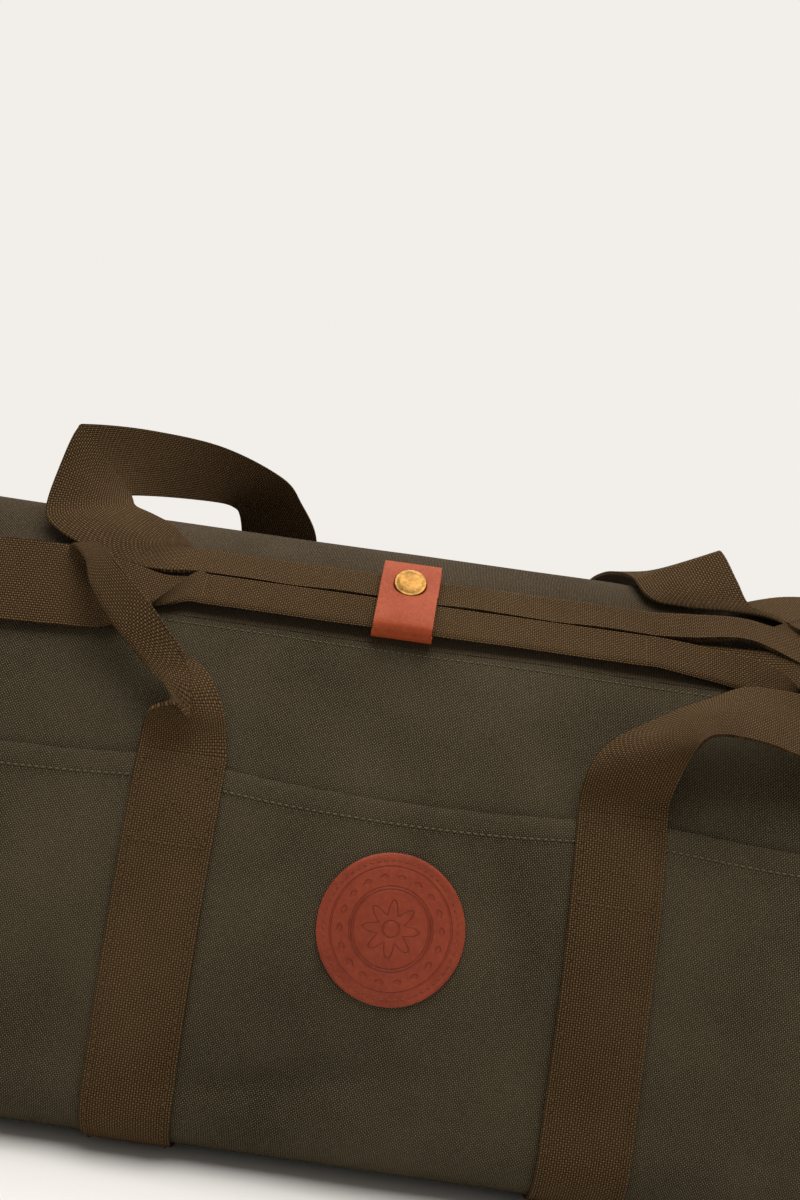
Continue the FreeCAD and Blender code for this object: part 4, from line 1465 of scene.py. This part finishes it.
def grab_loop(word, x, arm, drop, top):
    """The U in stations: down one arm, round its corner, and the same mirrored."""
    course = [((-arm, top), (-1, 0)), ((-arm, (top + drop) / 2 + 0.012), (-1, 0))]
    for turn in (180, 225, 270):
        c, s = math.cos(math.radians(turn)), math.sin(math.radians(turn))
        course.append(((-arm + GRAB_BEND + GRAB_BEND * c, drop + GRAB_BEND + GRAB_BEND * s), (c, s)))
    course.append(((0, drop), (0, -1)))
    course += [((-y, z), (-c, s)) for (y, z), (c, s) in course[-2::-1]]
    stations = [
        tuple(Vector((x, y + c * GRAB_HALF * k, z + s * GRAB_HALF * k)) for k in (1, 0, -1))
        for (y, z), (c, s) in course
    ]
    strap(
        f"grab_webbing_{word}", stations, body=f"end_handle_{word}", replaced=[f"end_handle_{word}"],
        half=GRAB_HALF, thick=0.003, rows=6,
    )


def grab_tab(name, row_name, end, x, middle, top):
    """The tab that holds one arm, sewn to the end with a box of stitches."""
    def place(across, up):
        sunk = 0.0028 * fade(up, 0.0, 0.012)
        return Vector((x + end * 0.0012 - end * sunk, middle + across, top - 0.002 + up))

    tab = laid_sheet(
        name, (-TAB_HALF, TAB_HALF), (0.0, TAB_LENGTH), (8, 12), place, WEBBING, 0.0018,
        seen_from=(end, 0, 0),
    )
    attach(tab, "bag")
    out, raised = Vector((end, 0, 0)), Vector((end * 0.0002, 0, 0))
    low, high = TAB_BOX
    places = []
    for number in range(8):
        step = number / 7
        for across in (-0.009, 0.009):
            places.append((place(across, low + (high - low) * step) + raised, Vector((0, 0, 1)), out))
        for up in (low, high):
            places.append((place(-0.0085 + 0.017 * step, up) + raised, Vector((0, 1, 0)), out))
    stitch_row(row_name, places, 0.0020, THREAD_BROWN, FINE_THREAD)


def end_handle(word, end):
    low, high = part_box(f"end_handle_{word}")
    x, top = (low[0] + high[0]) / 2, high[2]
    arm = high[1] - GRAB_HALF - 0.001
    drop = low[2] + GRAB_HALF + 0.001
    grab_loop(word, x, arm, drop, top)
    for side_word, side in (("front", FRONT), ("back", BACK)):
        name, row_name = f"grab_tab_{word}_{side_word}", f"grab_stitches_{word}_{side_word}"
        grab_tab(name, row_name, end, x, side * arm, top)


for word, end in (("left", -1), ("right", 1)):
    end_handle(word, end)

# %% [markdown]
# ## Studio
# The bag stands on a plain pale floor under a bright, even sky. The sky is seen brighter than
# it lights, and far from the bag the floor fades into the same plain glow. One large soft
# light from above, a little in front, and a weaker one behind let the canvas darken gently
# towards its base.

# %% Floor and light
PALE_GLOW = (0.888, 0.855, 0.815)


def studio_floor():
    bm = bmesh.new()
    bmesh.ops.create_grid(bm, x_segments=2, y_segments=2, size=6.0)
    mesh = bpy.data.meshes.new("floor")
    bm.to_mesh(mesh)
    bm.free()
    floor = bpy.data.objects.new("floor", mesh)
    bpy.context.collection.objects.link(floor)
    material, tree, shader = new_material("pale_floor", 0.9)
    shader.inputs["Emission Color"].default_value = (*PALE_GLOW, 1)
    shader.inputs["Specular IOR Level"].default_value = 0.1
    reach = tree.nodes.new("ShaderNodeVectorMath")
    reach.operation = "LENGTH"
    tree.links.new(coordinates(tree, "Object"), reach.inputs[0])
    away = ramp(tree, reach.outputs["Value"], 0.5, 2.4)
    tree.links.new(away, shader.inputs["Emission Strength"])
    ground = blend_colours(tree, away, (0.82, 0.795, 0.755), (0.0, 0.0, 0.0))
    tree.links.new(ground, shader.inputs["Base Color"])
    mesh.materials.append(material)
    floor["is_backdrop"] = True


def sky():
    world = bpy.data.worlds.new("studio_sky")
    world.use_nodes = True
    nodes, links = world.node_tree.nodes, world.node_tree.links
    seen = nodes["Background"]
    seen.inputs[0].default_value = (*PALE_GLOW, 1)
    lit = nodes.new("ShaderNodeBackground")
    lit.inputs[0].default_value = (0.90, 0.87, 0.83, 1)
    lit.inputs[1].default_value = 0.36
    path, mix = nodes.new("ShaderNodeLightPath"), nodes.new("ShaderNodeMixShader")
    links.new(path.outputs["Is Camera Ray"], mix.inputs[0])
    links.new(lit.outputs[0], mix.inputs[1])
    links.new(seen.outputs[0], mix.inputs[2])
    links.new(mix.outputs[0], nodes["World Output"].inputs[0])
    bpy.context.scene.world = world


def soft_light(name, place, aim, size, power):
    data = bpy.data.lights.new(name, "AREA")
    data.size = size
    data.energy = power
    light = bpy.data.objects.new(name, data)
    bpy.context.collection.objects.link(light)
    light.location = place
    light.rotation_euler = (Vector(aim) - Vector(place)).to_track_quat("-Z", "Y").to_euler()


studio_floor()
sky()
soft_light("key", (0.05, -0.45, 1.75), (0.02, -0.05, 0.15), 1.3, 29.0)
soft_light("top", (0.2, 0.5, 1.7), (0, 0, 0.2), 1.5, 14.0)
bpy.context.scene.view_settings.view_transform = "Standard"

# %% [markdown]
# ## Sizes
# The box round everything visible is kept beside the box of the measured parts, so that the
# two can be compared.

# %% Sizes and finish
visual_box = [list(corner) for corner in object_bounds()]
print("box of the finished bag", [[round(v, 3) for v in corner] for corner in visual_box])
